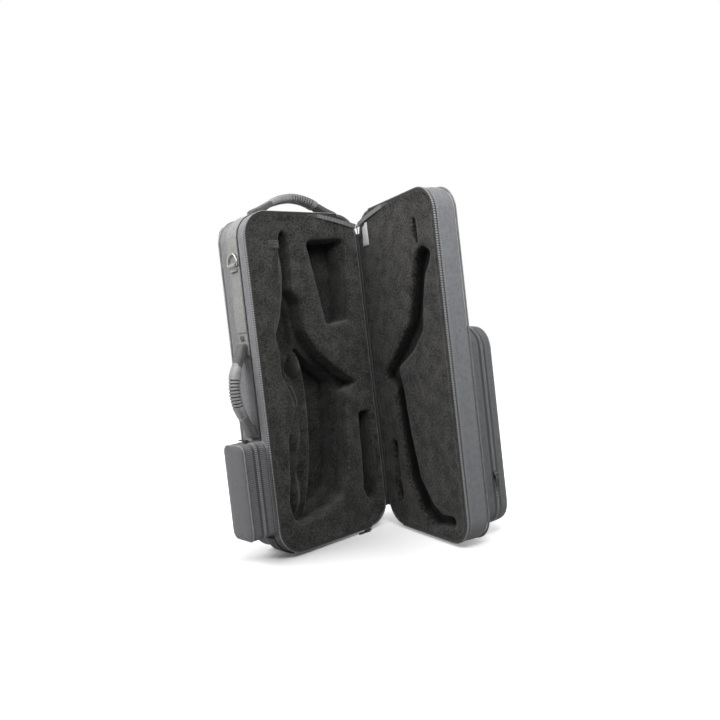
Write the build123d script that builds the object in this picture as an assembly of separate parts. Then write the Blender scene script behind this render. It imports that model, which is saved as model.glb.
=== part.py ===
from build123d import *
import math
import os

# Shaped alto saxophone case with a zipped lid, millimetres. It stands on its bottom end, +Z up.
# While it is drawn, x = 0 is the base's free side wall, x = case_width its hinge side, y = 0 the
# plane where the two halves meet, +y the base's back and z = 0 the bottom of the shells.
# The lid is drawn closed, at negative y, and is then turned about the hinge to lid_angle.

# Case
case_height = 660.0
case_width = 276.0
base_depth = 100.0
lid_depth = 50.0
lid_angle = 78.0
corner_radius = 50.0
back_edge_radius = 4.0
shell_wall = 4.0
rim_gap = 1.5
overrun = 2.0

# Clearances
seat_gap = 0.2
move_gap = 0.3
pin_gap = 0.08

# Linings: foam blocks with a plush face
face_recess = 1.5
plush_edge = 5.0
recess_edge = 3.5
well_depth = 46.0
bell_depth = 85.0
tube_depth = 62.0
box_depth = 66.0
slot_depth = 52.0
lid_groove_depth = 26.0
lid_notch_depth = 14.0
lid_slot_depth = 14.0
outline_radius = 6.0
box_corner = 9.0

# Main zip
tape_width = 11.4
tape_thickness = 1.0
coil_size = 1.6
coil_depth = 2.2
coil_start = 0.2
zip_turn_in = 126.0
zip_end_drop = 24.0
zip_end_width = 13.0
zip_end_thickness = 0.9

# Hinge
hinge_reach = 2.0
hinge_cord_radius = 0.95
hinge_tape_thickness = 0.8
hinge_tape_width = 14.0
hinge_tape_start = 62.0
hinge_tape_drop = 42.0

# Piping
piping_radius = 2.0

# Webbing
webbing_width = 37.0
webbing_thickness = 2.5
webbing_middle = 50.0
lower_webbing_top = 36.0
lower_webbing_end = 52.0
stud_radius = 6.0
stud_height = 2.4
stud_clearance = 1.9

# D ring
ring_wire = 1.75
ring_half_width = 16.7
ring_straight = 7.0
ring_bend = 3.0
ring_drop = 97.0
ring_stand = 3.1
loop_height = 15.0
loop_width = 25.0
loop_wall = 1.6

# Handles
handle_rise = 38.0
handle_arc_radius = 121.0
handle_strap_width = 28.0
handle_strap_thickness = 3.6
handle_pivot_inset = 14.0
arc_overrun = 6.0
grip_length = 122.0
grip_width = 29.0
grip_thickness = 13.0
grip_round = 5.0
rib_count = 9
rib_pitch = 6.2
rib_width = 2.4
rib_depth = 1.5
rib_reach = 19.0
anchor_length = 26.0
anchor_thickness = 2.6
top_handle_middle_share = 0.547
side_handle_middle_share = 0.488
side_handle_rise = 31.0
side_handle_arc_radius = 119.0

# Feet
foot_height = 8.0
foot_radius = 8.5
foot_top_radius = 10.5
foot_inset = 68.0
skid_thickness = 4.0
skid_width = 30.0
skid_start = 196.0
skid_end = 258.0
skid_middle = 35.0

# Side pocket
side_pocket_bottom = 42.0
side_pocket_clearance = 7.0
side_pocket_front = 14.0
side_pocket_back = 14.0
side_pocket_depth = 52.0
side_tray_depth = 25.0
side_pocket_corner = 14.0
side_pocket_edge = 7.0
pocket_wall = 2.0
pocket_gap = 0.6
pocket_tape_width = 8.0
pocket_tape_thickness = 0.8
pocket_coil = 1.4

# Lid pocket
lid_pocket_hinge_side = 20.0
lid_pocket_free_side = 26.0
lid_pocket_bottom = 15.0
lid_pocket_top_share = 0.6
lid_pocket_depth = 75.0
lid_tray_depth = 45.0
lid_pocket_corner = 42.0
lid_pocket_edge = 25.0

# Back pocket and padded roll
back_pocket_inset = 5.0
back_pocket_depth = 9.0
back_pocket_bottom = 40.0
back_pocket_drop = 88.0
back_pocket_corner = 10.0
back_pocket_edge = 2.5
roll_inset = 3.0
roll_depth = 23.0
roll_drop = 10.0
roll_height = 76.0
roll_edge = 7.0
roll_crown_shares = (0.72, 0.12)
roll_full_share = 0.45
roll_waist_shares = (0.8, 0.2)
roll_foot_share = 0.36
back_zip_middle = 10.5
back_zip_bottom = 60.0

# Sliders and pulls
slider_length = 14.0
slider_width = 9.0
slider_thickness = 2.4
slider_round = 1.0
pull_length = 25.0
pull_width = 7.0
pull_thickness = 1.6
pull_slot_length = 15.0
pull_slot_width = 3.6
pull_lift = 0.4
pull_head_share = 0.45
ear_length = 3.2
main_slider_inset = 62.0
side_slider_inset = 30.0
lid_slider_rise = 97.0
upper_back_slider_drop = 18.0
lower_back_slider_drop = 67.0

# Small trim
tab_width = 24.0
tab_height = 16.0
tab_thickness = 0.8
tab_round = 2.0
label_width = 26.0
label_height = 48.0
label_thickness = 0.5
label_drop = 31.0
label_inset = 11.0

# Outlines, as shares of the case's width and height, seen from the open side
well_shares = [
    (0.276, 0.915), (0.295, 0.945), (0.333, 0.945), (0.355, 0.905), (0.350, 0.830),
    (0.340, 0.772), (0.400, 0.735), (0.416, 0.645), (0.515, 0.575), (0.725, 0.500),
    (0.860, 0.464), (0.722, 0.440), (0.700, 0.321), (0.667, 0.197), (0.616, 0.127),
    (0.507, 0.097), (0.341, 0.080), (0.214, 0.070), (0.145, 0.096), (0.118, 0.142),
    (0.148, 0.214), (0.172, 0.330), (0.265, 0.424), (0.215, 0.489), (0.176, 0.521),
    (0.184, 0.565), (0.160, 0.670), (0.203, 0.741), (0.262, 0.858),
]
bell_shares = [
    (0.405, 0.600), (0.520, 0.545), (0.700, 0.480), (0.670, 0.330), (0.638, 0.210),
    (0.590, 0.145), (0.500, 0.115), (0.350, 0.100), (0.300, 0.150), (0.300, 0.290),
    (0.330, 0.440), (0.300, 0.545),
]
tube_shares = [
    (0.287, 0.915), (0.340, 0.915), (0.335, 0.760), (0.375, 0.690), (0.385, 0.600),
    (0.310, 0.560), (0.255, 0.640), (0.255, 0.740), (0.290, 0.860),
]
box_shares = [(0.514, 0.917), (0.866, 0.924), (0.851, 0.664), (0.623, 0.652)]
slot_shares = [
    (0.826, 0.370), (0.936, 0.370), (0.936, 0.079), (0.855, 0.074), (0.801, 0.120),
    (0.822, 0.247),
]
tab_place_shares = (0.223, 0.905)

# Outlines in the lid: distance from the hinge side and height, as shares of width and height
groove_shares = [
    (0.745, 0.830), (0.812, 0.843), (0.898, 0.818), (0.862, 0.788), (0.797, 0.758),
    (0.750, 0.692), (0.710, 0.608), (0.569, 0.552), (0.348, 0.503), (0.377, 0.432),
    (0.420, 0.280), (0.482, 0.161), (0.601, 0.092), (0.710, 0.066), (0.860, 0.070),
    (0.845, 0.042), (0.612, 0.030), (0.464, 0.064), (0.355, 0.153), (0.297, 0.308),
    (0.279, 0.440), (0.160, 0.467), (0.160, 0.488), (0.384, 0.564), (0.551, 0.630),
    (0.627, 0.697), (0.703, 0.803),
]
notch_shares = [(0.745, 0.847), (0.722, 0.920), (0.738, 0.932), (0.757, 0.920), (0.765, 0.849)]
lid_slot_shares = (0.178, 0.175)
lid_slot_length = 127.0
lid_slot_width = 16.0

# Worked out from the sizes above
hinge_x = case_width + hinge_reach
lining_radius = corner_radius - shell_wall - seat_gap
lining_inset = shell_wall + seat_gap
lining_face = rim_gap + face_recess
hinge_tape_end = case_height - hinge_tape_drop
ring_place = case_height - ring_drop
roll_top = case_height - roll_drop
back_pocket_height = case_height - back_pocket_drop - back_pocket_bottom
side_pocket_width = base_depth - side_pocket_front - side_pocket_back
lid_pocket_width = case_width - lid_pocket_hinge_side - lid_pocket_free_side
lid_pocket_height = case_height * lid_pocket_top_share - lid_pocket_bottom
top_handle_middle = case_width * top_handle_middle_share
side_handle_middle = case_height * side_handle_middle_share
label_top = case_height - label_drop
main_slider_place = case_width - main_slider_inset
side_slider_place = side_pocket_front + side_slider_inset
lid_slider_place = lid_pocket_bottom + lid_slider_rise
upper_back_slider_place = case_height - back_pocket_drop - upper_back_slider_drop
lower_back_slider_place = case_height - back_pocket_drop - lower_back_slider_drop


def half_span(radius, rise):
    """Half the span of an arc at its foot line."""
    return math.sqrt(radius ** 2 - (radius - rise) ** 2)


def pivot_height(radius, rise):
    """How high above the foot line a handle's strap passes the handle's axis."""
    pivot_x = half_span(radius, rise) - handle_pivot_inset
    return math.sqrt(radius ** 2 - pivot_x ** 2) - (radius - rise)


top_handle_half_span = half_span(handle_arc_radius, handle_rise)
side_handle_half_span = half_span(side_handle_arc_radius, side_handle_rise)
side_anchor_top = side_handle_middle + side_handle_half_span + anchor_length / 2
stud_place = side_anchor_top + stud_clearance + stud_radius
side_anchor_bottom = side_handle_middle - side_handle_half_span - anchor_length / 2
side_pocket_height = side_anchor_bottom - side_pocket_clearance - side_pocket_bottom
pull_axis_height = (
    pocket_tape_thickness + pocket_coil + move_gap + slider_thickness + pull_lift + pull_thickness / 2
)
top_foot_line = case_height + anchor_thickness + handle_strap_thickness / 2
side_foot_line = anchor_thickness + handle_strap_thickness / 2
top_handle_axis = top_foot_line + pivot_height(handle_arc_radius, handle_rise)
side_handle_axis = -side_foot_line - pivot_height(side_handle_arc_radius, side_handle_rise)


# Helpers: sketches are drawn in two of the part's own axes and extruded along the third

def xz_slab(sketch, y_from, y_to):
    """A sketch in (x, z), extruded from one y to another."""
    plane = Plane(origin=(0, y_from, 0), x_dir=(1, 0, 0), z_dir=(0, -1, 0))
    return extrude(plane * sketch, amount=y_to - y_from, dir=(0, 1, 0))


def yz_slab(sketch, x_from, x_to):
    """A sketch in (y, z), extruded from one x to another."""
    plane = Plane(origin=(x_from, 0, 0), x_dir=(0, 1, 0), z_dir=(1, 0, 0))
    return extrude(plane * sketch, amount=x_to - x_from, dir=(1, 0, 0))


def block(x_from, x_to, y_from, y_to, z_from, z_to):
    """A box between two corners."""
    middle = Pos((x_from + x_to) / 2, (y_from + y_to) / 2, (z_from + z_to) / 2)
    return middle * Box(x_to - x_from, y_to - y_from, z_to - z_from)


def rounded(u_from, u_to, v_from, v_to, radius):
    """A rectangle with round corners between two corners of a sketch."""
    middle = Pos((u_from + u_to) / 2, (v_from + v_to) / 2)
    return middle * RectangleRounded(u_to - u_from, v_to - v_from, radius)


def case_outline(grow=0.0):
    """The case's outline in (x, z), grown outwards or, if negative, inwards."""
    return rounded(-grow, case_width + grow, -grow, case_height + grow, corner_radius + grow)


def case_ring(inner, outer):
    """The band between two grown outlines."""
    return case_outline(outer) - case_outline(inner)


def share_outline(shares, radius, from_hinge=False):
    """A closed outline in (x, z) from shares of the case's width and height."""
    points = []
    for across, up in shares:
        x = case_width * across
        points.append((case_width - x if from_hinge else x, case_height * up))
    return make_face(FilletPolyline(*points, radius=radius, close=True))


def outer_edges(solid, axis, side):
    """The edges of the face that lies furthest along an axis."""
    faces = solid.faces().sort_by(axis)
    face = faces[-1] if side > 0 else faces[0]
    return face.outer_wire().edges()


def beads(outline_sketch, plane, radius):
    """A round bead along the outline of a sketch on a plane."""
    path = (plane * outline_sketch).faces()[0].outer_wire()
    start = path.position_at(0)
    section = Plane(origin=start, z_dir=path.tangent_at(0)) * Circle(radius)
    return sweep(section, path=path)


# Shells

def shell(depth):
    """One half's walls and back, with its open rim rim_gap behind y = 0."""
    body = xz_slab(case_outline(), rim_gap, depth)
    body = fillet(outer_edges(body, Axis.Y, 1), back_edge_radius)
    return body - xz_slab(case_outline(-shell_wall), rim_gap - overrun, depth - shell_wall)


def lining_block(depth):
    """The foam block that fills a shell, its face a little behind the rim."""
    outline = rounded(
        lining_inset, case_width - lining_inset, lining_inset, case_height - lining_inset,
        lining_radius,
    )
    foam = xz_slab(outline, lining_face, depth - shell_wall)
    return fillet(outer_edges(foam, Axis.Y, -1), plush_edge)


def sink(outline, depth):
    """The space that an outline takes out of a lining, down to a depth below the rim plane."""
    return xz_slab(outline, lining_face - overrun, depth)


def soften(foam):
    """Round the plush over every recess's edge in a lining's face."""
    face = foam.faces().filter_by(Axis.Y).sort_by(Axis.Y)[0]
    return fillet([edge for wire in face.inner_wires() for edge in wire.edges()], recess_edge)


def base_lining():
    """Foam cut for the horn's body, bell and bow, an accessory box and a narrow slot."""
    foam = lining_block(base_depth)
    foam -= sink(share_outline(well_shares, outline_radius), well_depth)
    foam -= sink(share_outline(bell_shares, outline_radius), bell_depth)
    foam -= sink(share_outline(tube_shares, outline_radius), tube_depth)
    foam -= sink(share_outline(box_shares, box_corner), box_depth)
    foam -= sink(share_outline(slot_shares, outline_radius), slot_depth)
    return soften(foam)


def lid_lining():
    """Foam cut for the upper side of the horn, drawn on the positive side of y = 0."""
    foam = lining_block(lid_depth)
    foam -= sink(share_outline(groove_shares, outline_radius, True), lid_groove_depth)
    foam -= sink(share_outline(notch_shares, tab_round, True), lid_notch_depth)
    slot_middle = Pos(case_width - case_width * lid_slot_shares[0], case_height * lid_slot_shares[1])
    slot = slot_middle * Rot(0, 0, 90) * SlotOverall(lid_slot_length, lid_slot_width)
    return soften(foam - sink(slot, lid_slot_depth))


# Main zip and hinge

def zip_sides(band, depth):
    """A band round the case with its hinge side and its turned-in end left out."""
    hinge_side = block(
        case_width - corner_radius, case_width + corner_radius, -overrun, depth + overrun,
        -corner_radius, case_height + corner_radius,
    )
    turned_in = block(
        case_width - zip_turn_in, case_width, -overrun, depth + overrun,
        case_height - corner_radius, case_height + corner_radius,
    )
    return band - hinge_side - turned_in


def zip_tape():
    """The woven tape, sewn flat round three sides of the rim."""
    band = xz_slab(case_ring(0, tape_thickness), coil_start + coil_depth, coil_depth + tape_width)
    return zip_sides(band, coil_depth + tape_width)


def zip_coil():
    """The zip's coil along the tape's front edge."""
    return zip_sides(xz_slab(case_ring(0, coil_size), coil_start, coil_start + coil_depth), coil_depth)


def zip_end():
    """The loose end of the zip, which runs from the top edge down to the hinge."""
    x_from = case_width - zip_turn_in
    x_to = hinge_x - hinge_cord_radius - move_gap
    low = case_height - zip_end_drop
    points = [
        (x_from, case_height), (x_from + zip_end_width + zip_end_width, case_height),
        (x_to, low), (x_to, low - zip_end_width), (x_from, case_height - zip_end_width / 3),
    ]
    strip = make_face(Polyline(*points, close=True))
    return xz_slab(strip, coil_start, coil_start + zip_end_thickness)


def hinge_tape():
    """The hinge tape on one half's hinge wall."""
    return block(
        case_width, case_width + hinge_tape_thickness, coil_start, hinge_tape_width,
        hinge_tape_start, hinge_tape_end,
    )


def hinge_cord():
    """The round cord that the fabric hinge is folded round, on the hinge's axis."""
    top = case_height - zip_end_drop
    return Pos(hinge_x, 0, hinge_tape_start) * Cylinder(
        hinge_cord_radius, top - hinge_tape_start, align=(Align.CENTER, Align.CENTER, Align.MIN)
    )


def back_piping(depth):
    """Piping round a shell's back edge, seated outside the edge's round."""
    reach = (back_edge_radius + piping_radius + seat_gap / 2) / math.sqrt(2)
    grow = reach - back_edge_radius
    plane = Plane(origin=(0, depth + grow, 0), x_dir=(1, 0, 0), z_dir=(0, -1, 0))
    return beads(case_outline(grow), plane, piping_radius)


# Webbing, D ring and stud on the free side wall

def webbing_band(thickness, y_middle, width):
    """A band of webbing all round the case, to be cut to length."""
    return xz_slab(case_ring(0, thickness), y_middle - width / 2, y_middle + width / 2)


def upper_webbing():
    """Webbing from the top handle round the upper corner to the side handle."""
    band = webbing_band(webbing_thickness, webbing_middle, webbing_width)
    keep = block(
        -corner_radius, top_handle_middle - top_handle_half_span - anchor_length / 2,
        0, base_depth,
        side_anchor_top, case_height + corner_radius,
    )
    return band & keep


def lower_webbing():
    """Webbing round the lower corner."""
    band = webbing_band(webbing_thickness, skid_middle, webbing_width)
    keep = block(-corner_radius, lower_webbing_end, 0, base_depth, -corner_radius, lower_webbing_top)
    return band & keep


def skid():
    """A moulded skid over the webbing at the lower corner."""
    inner = corner_radius + webbing_thickness
    ring = Circle(inner + skid_thickness) - Circle(inner)
    points = [(0, 0)]
    for angle in (skid_start, (skid_start + skid_end) / 2, skid_end):
        turn = math.radians(angle)
        points.append((case_width * math.cos(turn), case_width * math.sin(turn)))
    wedge = make_face(Polyline(*points, close=True))
    sector = Pos(corner_radius, corner_radius) * (ring & wedge)
    return xz_slab(sector, skid_middle - skid_width / 2, skid_middle + skid_width / 2)


def d_ring():
    """The D ring, its straight bar along y and its bow upwards."""
    half = ring_half_width
    straight = Polyline((-half, ring_straight), (-half, 0), (half, 0), (half, ring_straight))
    bow = ThreePointArc((half, ring_straight), (0, ring_straight + half), (-half, ring_straight))
    outline = make_face(Curve() + [straight, bow])
    low = outline.vertices().group_by(Axis.Y)[0]
    outline = fillet(low, ring_bend)
    x = -webbing_thickness - ring_stand
    plane = Plane(origin=(x, webbing_middle, ring_place), x_dir=(0, 1, 0), z_dir=(1, 0, 0))
    return beads(outline, plane, ring_wire)


def d_ring_loop():
    """The sewn loop that holds the D ring's bar."""
    bar_x = -webbing_thickness - ring_stand
    out = ring_wire + pin_gap + loop_wall
    top = ring_place + out
    body = block(
        bar_x - out, -webbing_thickness, webbing_middle - loop_width / 2,
        webbing_middle + loop_width / 2, top - loop_height, top,
    )
    body = fillet(body.edges().filter_by(Axis.Y).sort_by(Axis.X)[:2], loop_wall)
    bore = Pos(bar_x, webbing_middle, ring_place) * Rot(90, 0, 0) * Cylinder(
        ring_wire + pin_gap, loop_width + overrun
    )
    return body - bore


def stud():
    """A riveted stud at the webbing's lower end."""
    plane = Plane(origin=(-webbing_thickness, webbing_middle, stud_place), z_dir=(-1, 0, 0))
    head = extrude(plane * Circle(stud_radius), amount=stud_height)
    return fillet(head.edges().sort_by(Axis.X)[0], stud_height / 2)


# Handles: drawn about the arc's centre, local x along the span and local y away from the case

def arc_band(radius, thickness, width, half_angle, corner):
    """A band bent on an arc, symmetric about local +y."""
    section = Plane.XZ * Pos(radius, 0) * RectangleRounded(thickness, width, corner)
    start = Rot(0, 0, 90 - half_angle) * section
    return revolve(start, Axis.Z, 2 * half_angle)


def handle(radius, rise, plane, seat):
    """Webbing ends, inner strap and grip of one handle, placed by a plane at its foot line.

    seat is how far the foot line, where the strap's middle meets the anchors, stands off the case.
    """
    span = half_span(radius, rise)
    half_angle = math.degrees(math.asin(span / radius))
    pivot_x = span - handle_pivot_inset
    centre = radius - rise
    corner = handle_strap_thickness / 3
    band = arc_band(radius, handle_strap_thickness, handle_strap_width, half_angle + arc_overrun, corner)
    band = Pos(0, -centre, 0) * band
    wide = 2 * radius
    above = Pos(0, radius - seat, 0) * Box(wide, 2 * radius, wide)
    band = band & above
    middle = Box(2 * pivot_x, wide, wide)
    gap = Box(2 * (pivot_x + move_gap), wide, wide)
    ends = band - gap
    strap = band & middle
    grip_angle = math.degrees(grip_length / 2 / radius)
    grip = arc_band(radius, grip_thickness, grip_width, grip_angle, grip_round)
    sleeve = arc_band(
        radius, handle_strap_thickness, handle_strap_width, grip_angle + arc_overrun, corner
    )
    grip = Pos(0, -centre, 0) * (grip - sleeve - rib_grooves(radius))
    return plane * ends, plane * strap, plane * grip


def rib_grooves(radius):
    """Short grooves across the grip's outer face, which leave its ribs standing."""
    outer = radius + grip_thickness / 2
    grooves = []
    for index in range(rib_count):
        turn = math.degrees((index - (rib_count - 1) / 2) * rib_pitch / radius)
        groove = Pos(0, outer, 0) * Box(rib_width, 2 * rib_depth, rib_reach)
        grooves.append(Rot(0, 0, turn) * groove)
    return grooves


def top_handle():
    """The three pieces of the handle on top."""
    plane = Plane(
        origin=(top_handle_middle, webbing_middle, top_foot_line), x_dir=(1, 0, 0), z_dir=(0, -1, 0)
    )
    return handle(handle_arc_radius, handle_rise, plane, handle_strap_thickness / 2)


def side_handle():
    """The three pieces of the handle on the free side wall."""
    plane = Plane(
        origin=(-side_foot_line, webbing_middle, side_handle_middle), x_dir=(0, 0, 1), z_dir=(0, -1, 0)
    )
    return handle(side_handle_arc_radius, side_handle_rise, plane, handle_strap_thickness / 2)


def top_anchors():
    """Stitched patches under the top handle's two ends."""
    patches = []
    for side in (-1, 1):
        x = top_handle_middle + side * top_handle_half_span
        patches.append(block(
            x - anchor_length / 2, x + anchor_length / 2, webbing_middle - webbing_width / 2,
            webbing_middle + webbing_width / 2, case_height, case_height + anchor_thickness,
        ))
    return patches


def side_anchors():
    """Stitched patches under the side handle's two ends."""
    patches = []
    for side in (-1, 1):
        z = side_handle_middle + side * side_handle_half_span
        patches.append(block(
            -anchor_thickness, 0, webbing_middle - webbing_width / 2,
            webbing_middle + webbing_width / 2, z - anchor_length / 2, z + anchor_length / 2,
        ))
    return patches


# Feet

def foot(x, y):
    """One round foot under a shell."""
    cone = Cone(
        foot_radius, foot_top_radius, foot_height, align=(Align.CENTER, Align.CENTER, Align.MAX)
    )
    return Pos(x, y, 0) * fillet(cone.edges().sort_by(Axis.Z)[0], foot_height / 4)


# Sliders and pulls: drawn with the tape's surface at local z = 0 and the zip along local x

def slider(plane):
    """A zip slider, standing on the zip's coil, with two ears for its pull."""
    low = pocket_tape_thickness + pocket_coil + move_gap
    body = Pos(0, 0, low + slider_thickness / 2) * Box(slider_length, slider_width, slider_thickness)
    body = fillet(body.edges().filter_by(Axis.Z), slider_round)
    ear_height = pull_lift + pull_thickness
    ear_middle = low + slider_thickness + ear_height / 2
    ear_width = (slider_width - pull_width) / 2 - move_gap
    for side in (-1, 1):
        ear_y = side * (slider_width - ear_width) / 2
        body += Pos(0, ear_y, ear_middle) * Box(ear_length, ear_width, ear_height)
    return plane * body


def pull(plane):
    """A looped pull tab that hangs between the slider's ears towards local -x."""
    low = pull_axis_height - pull_thickness / 2
    outline = rounded(-pull_length, 0, -pull_width / 2, pull_width / 2, pull_width / 3)
    head = Pos(-pull_width / 4, 0) * Rectangle(pull_width / 2 + pull_thickness, pull_width)
    slot_x = -pull_length + pull_width / 2 + pull_slot_length / 2
    outline = outline + head - Pos(slot_x, 0) * SlotOverall(pull_slot_length, pull_slot_width)
    tab = extrude(Plane.XY.offset(low) * outline, amount=pull_thickness)
    head_edges = tab.edges().filter_by(Axis.Y).sort_by(Axis.X)[-2:]
    return plane * fillet(head_edges, pull_thickness * pull_head_share)


# Pockets: drawn in a plane's frame, local x across, local y up and local z out of the case

def pocket_outline(width, height, corner, grow=0.0):
    """A pocket's outline from its corner at the local origin."""
    return rounded(-grow, width + grow, -grow, height + grow, corner + grow)


def pocket_tray(plane, width, height, corner, depth):
    """The part of a pocket that is sewn to the case: a back sheet and a low wall."""
    tray = extrude(pocket_outline(width, height, corner), amount=depth)
    inner = pocket_outline(width, height, corner, -pocket_wall)
    return plane * (tray - extrude(Plane.XY.offset(pocket_wall) * inner, amount=depth))


def pocket_cover(plane, width, height, corner, depth_from, depth_to, edge):
    """The part of a pocket that opens: a front with a soft edge and a low wall."""
    thick = depth_to - depth_from
    cover = extrude(Plane.XY.offset(depth_from) * pocket_outline(width, height, corner), amount=thick)
    cover = fillet(outer_edges(cover, Axis.Z, 1), edge)
    inner = pocket_outline(width, height, corner, -pocket_wall)
    inner = Plane.XY.offset(depth_from - overrun) * inner
    inner = extrude(inner, amount=thick + overrun - pocket_wall)
    inner = fillet(outer_edges(inner, Axis.Z, 1), edge - pocket_wall)
    return plane * (cover - inner)


def pocket_zip(plane, width, height, corner, depth_from, depth_to, reach, low_reach=0.0):
    """A strip round a pocket's wall, left out along its hinge side at local x = 0."""
    ring = pocket_outline(width, height, corner, reach)
    ring -= pocket_outline(width, height, corner, low_reach)
    strip = extrude(Plane.XY.offset(depth_from) * ring, amount=depth_to - depth_from)
    left_out = block(
        -corner, corner, -corner, height + corner, depth_from - overrun, depth_to + overrun
    )
    return plane * (strip - left_out)


# The lid pocket's frame, with the lid closed: local x from the hinge side, local y downwards
lid_pocket_plane = Plane(
    origin=(case_width - lid_pocket_hinge_side, -lid_depth, lid_pocket_bottom + lid_pocket_height),
    x_dir=(-1, 0, 0), z_dir=(0, -1, 0),
)
# The side pocket's frame: local x from its hinge at the back towards the front
side_pocket_plane = Plane(
    origin=(0, side_pocket_front + side_pocket_width, side_pocket_bottom),
    x_dir=(0, -1, 0), z_dir=(-1, 0, 0),
)


def back_roll():
    """The padded roll at the top of the back: full at its middle, drawn in below."""
    low = roll_top - roll_height
    full = (base_depth + roll_depth, roll_top - roll_height * roll_full_share)
    crown = (
        base_depth + roll_depth * roll_crown_shares[0], roll_top - roll_height * roll_crown_shares[1]
    )
    waist = (
        base_depth + roll_depth * roll_waist_shares[0], low + roll_height * roll_waist_shares[1]
    )
    foot_out = (base_depth + roll_depth * roll_foot_share, low)
    profile = make_face(Curve() + [
        Polyline(foot_out, (base_depth, low), (base_depth, roll_top)),
        ThreePointArc((base_depth, roll_top), crown, full),
        ThreePointArc(full, waist, foot_out),
    ])
    roll = yz_slab(profile, roll_inset, case_width - roll_inset)
    ends = roll.faces().filter_by(Axis.X)
    curved = [edge for face in ends for edge in face.edges().filter_by(GeomType.CIRCLE)]
    roll = fillet(curved, roll_edge)
    return roll & xz_slab(case_outline(-roll_inset), base_depth, base_depth + 2 * roll_depth)


def back_pocket():
    """The flat soft pocket on the back, filled by the folded carrying straps."""
    outline = rounded(
        back_pocket_inset, case_width - back_pocket_inset,
        back_pocket_bottom, back_pocket_bottom + back_pocket_height, back_pocket_corner,
    )
    panel = xz_slab(outline, base_depth, base_depth + back_pocket_depth)
    return fillet(outer_edges(panel, Axis.Y, 1), back_pocket_edge)


def back_zip():
    """The back pocket's zip tape and coil, straight down the free side."""
    y = base_depth + back_pocket_depth
    z_to = back_pocket_bottom + back_pocket_height - back_pocket_corner
    half = pocket_tape_width / 2
    tape = block(
        back_zip_middle - half, back_zip_middle + half, y, y + pocket_tape_thickness,
        back_zip_bottom, z_to,
    )
    return tape + block(
        back_zip_middle - pocket_coil, back_zip_middle + pocket_coil, y,
        y + pocket_tape_thickness + pocket_coil, back_zip_bottom, z_to,
    )


def pocket_hinge_tape(plane, height, corner, depth):
    """The tape that a pocket's cover turns on, sewn to the tray's wall at local x = 0."""
    return plane * block(
        -pocket_tape_thickness, 0, corner, height - corner, depth - pocket_tape_width, depth
    )


def pocket(name, plane, width, height, corner, tray_depth, depth, edge):
    """Fill in one zipped pocket's pieces and return those that open with its cover."""
    size = (plane, width, height, corner)
    cover_from = tray_depth + pocket_gap
    coil_middle = tray_depth + pocket_gap / 2
    coil_low = pocket_tape_thickness + move_gap
    nodes[name + "_tray"] = pocket_tray(*size, tray_depth)
    nodes[name + "_hinge_tape"] = pocket_hinge_tape(plane, height, corner, tray_depth)
    nodes[name + "_tray_tape"] = pocket_zip(
        *size, tray_depth - pocket_tape_width, tray_depth, pocket_tape_thickness
    )
    nodes[name + "_coil"] = pocket_zip(
        *size, coil_middle - pocket_coil, coil_middle + pocket_coil,
        pocket_tape_thickness + pocket_coil, coil_low,
    )
    nodes[name + "_cover"] = pocket_cover(*size, cover_from, depth, edge)
    nodes[name + "_cover_tape"] = pocket_zip(
        *size, cover_from, cover_from + pocket_tape_width, pocket_tape_thickness
    )


def tab():
    """A small tab sewn to the plush beside the horn's neck end."""
    x = case_width * tab_place_shares[0]
    z = case_height * tab_place_shares[1]
    outline = Pos(x, z) * RectangleRounded(tab_width, tab_height, tab_round)
    return xz_slab(outline, lining_face - tab_thickness, lining_face)


def label():
    """A plain label sewn to the lid's plush beside the hinge, drawn at positive y."""
    x_to = case_width - label_inset
    return block(
        x_to - label_width, x_to, lining_face - label_thickness, lining_face,
        label_top - label_height, label_top,
    )


nodes = {}

# Zip sliders' places: local x along the zip, local z off the surface that the tape lies on
main_slider_plane = Plane(origin=(main_slider_place, 0, 0), x_dir=(1, 0, 0), z_dir=(0, 0, -1))
side_slider_plane = Plane(
    origin=(
        -side_tray_depth - pocket_gap / 2, side_slider_place,
        side_pocket_bottom + side_pocket_height,
    ),
    x_dir=(0, -1, 0), z_dir=(0, 0, 1),
)
lid_slider_plane = Plane(
    origin=(
        case_width - lid_pocket_hinge_side - lid_pocket_width,
        -lid_depth - lid_tray_depth - pocket_gap / 2, lid_slider_place,
    ),
    x_dir=(0, 0, 1), z_dir=(-1, 0, 0),
)
back_face = base_depth + back_pocket_depth
upper_back_slider_plane = Plane(
    origin=(back_zip_middle, back_face, upper_back_slider_place), x_dir=(0, 0, 1), z_dir=(0, 1, 0)
)
lower_back_slider_plane = Plane(
    origin=(back_zip_middle, back_face, lower_back_slider_place), x_dir=(0, 0, 1), z_dir=(0, 1, 0)
)


def base_pieces():
    """Everything that stays on the base half."""
    nodes["base_shell"] = shell(base_depth)
    nodes["base_lining"] = base_lining()
    nodes["base_zip_tape"] = zip_tape()
    nodes["base_zip_coil"] = zip_coil()
    nodes["base_zip_end"] = zip_end()
    nodes["base_hinge_tape"] = hinge_tape()
    nodes["hinge_cord"] = hinge_cord()
    nodes["base_piping"] = back_piping(base_depth)
    nodes["upper_webbing"] = upper_webbing()
    nodes["lower_webbing"] = lower_webbing()
    nodes["corner_skid"] = skid()
    nodes["webbing_stud"] = stud()
    nodes["d_ring_loop"] = d_ring_loop()
    nodes["plush_tab"] = tab()
    nodes["top_handle_anchors"] = Compound(top_anchors())
    nodes["side_handle_anchors"] = Compound(side_anchors())
    nodes["base_feet"] = Compound([
        foot(foot_inset, base_depth / 2), foot(case_width - foot_inset, base_depth / 2)
    ])
    nodes["back_roll"] = back_roll()
    nodes["back_pocket"] = back_pocket()
    nodes["back_pocket_zip"] = back_zip()


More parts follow.
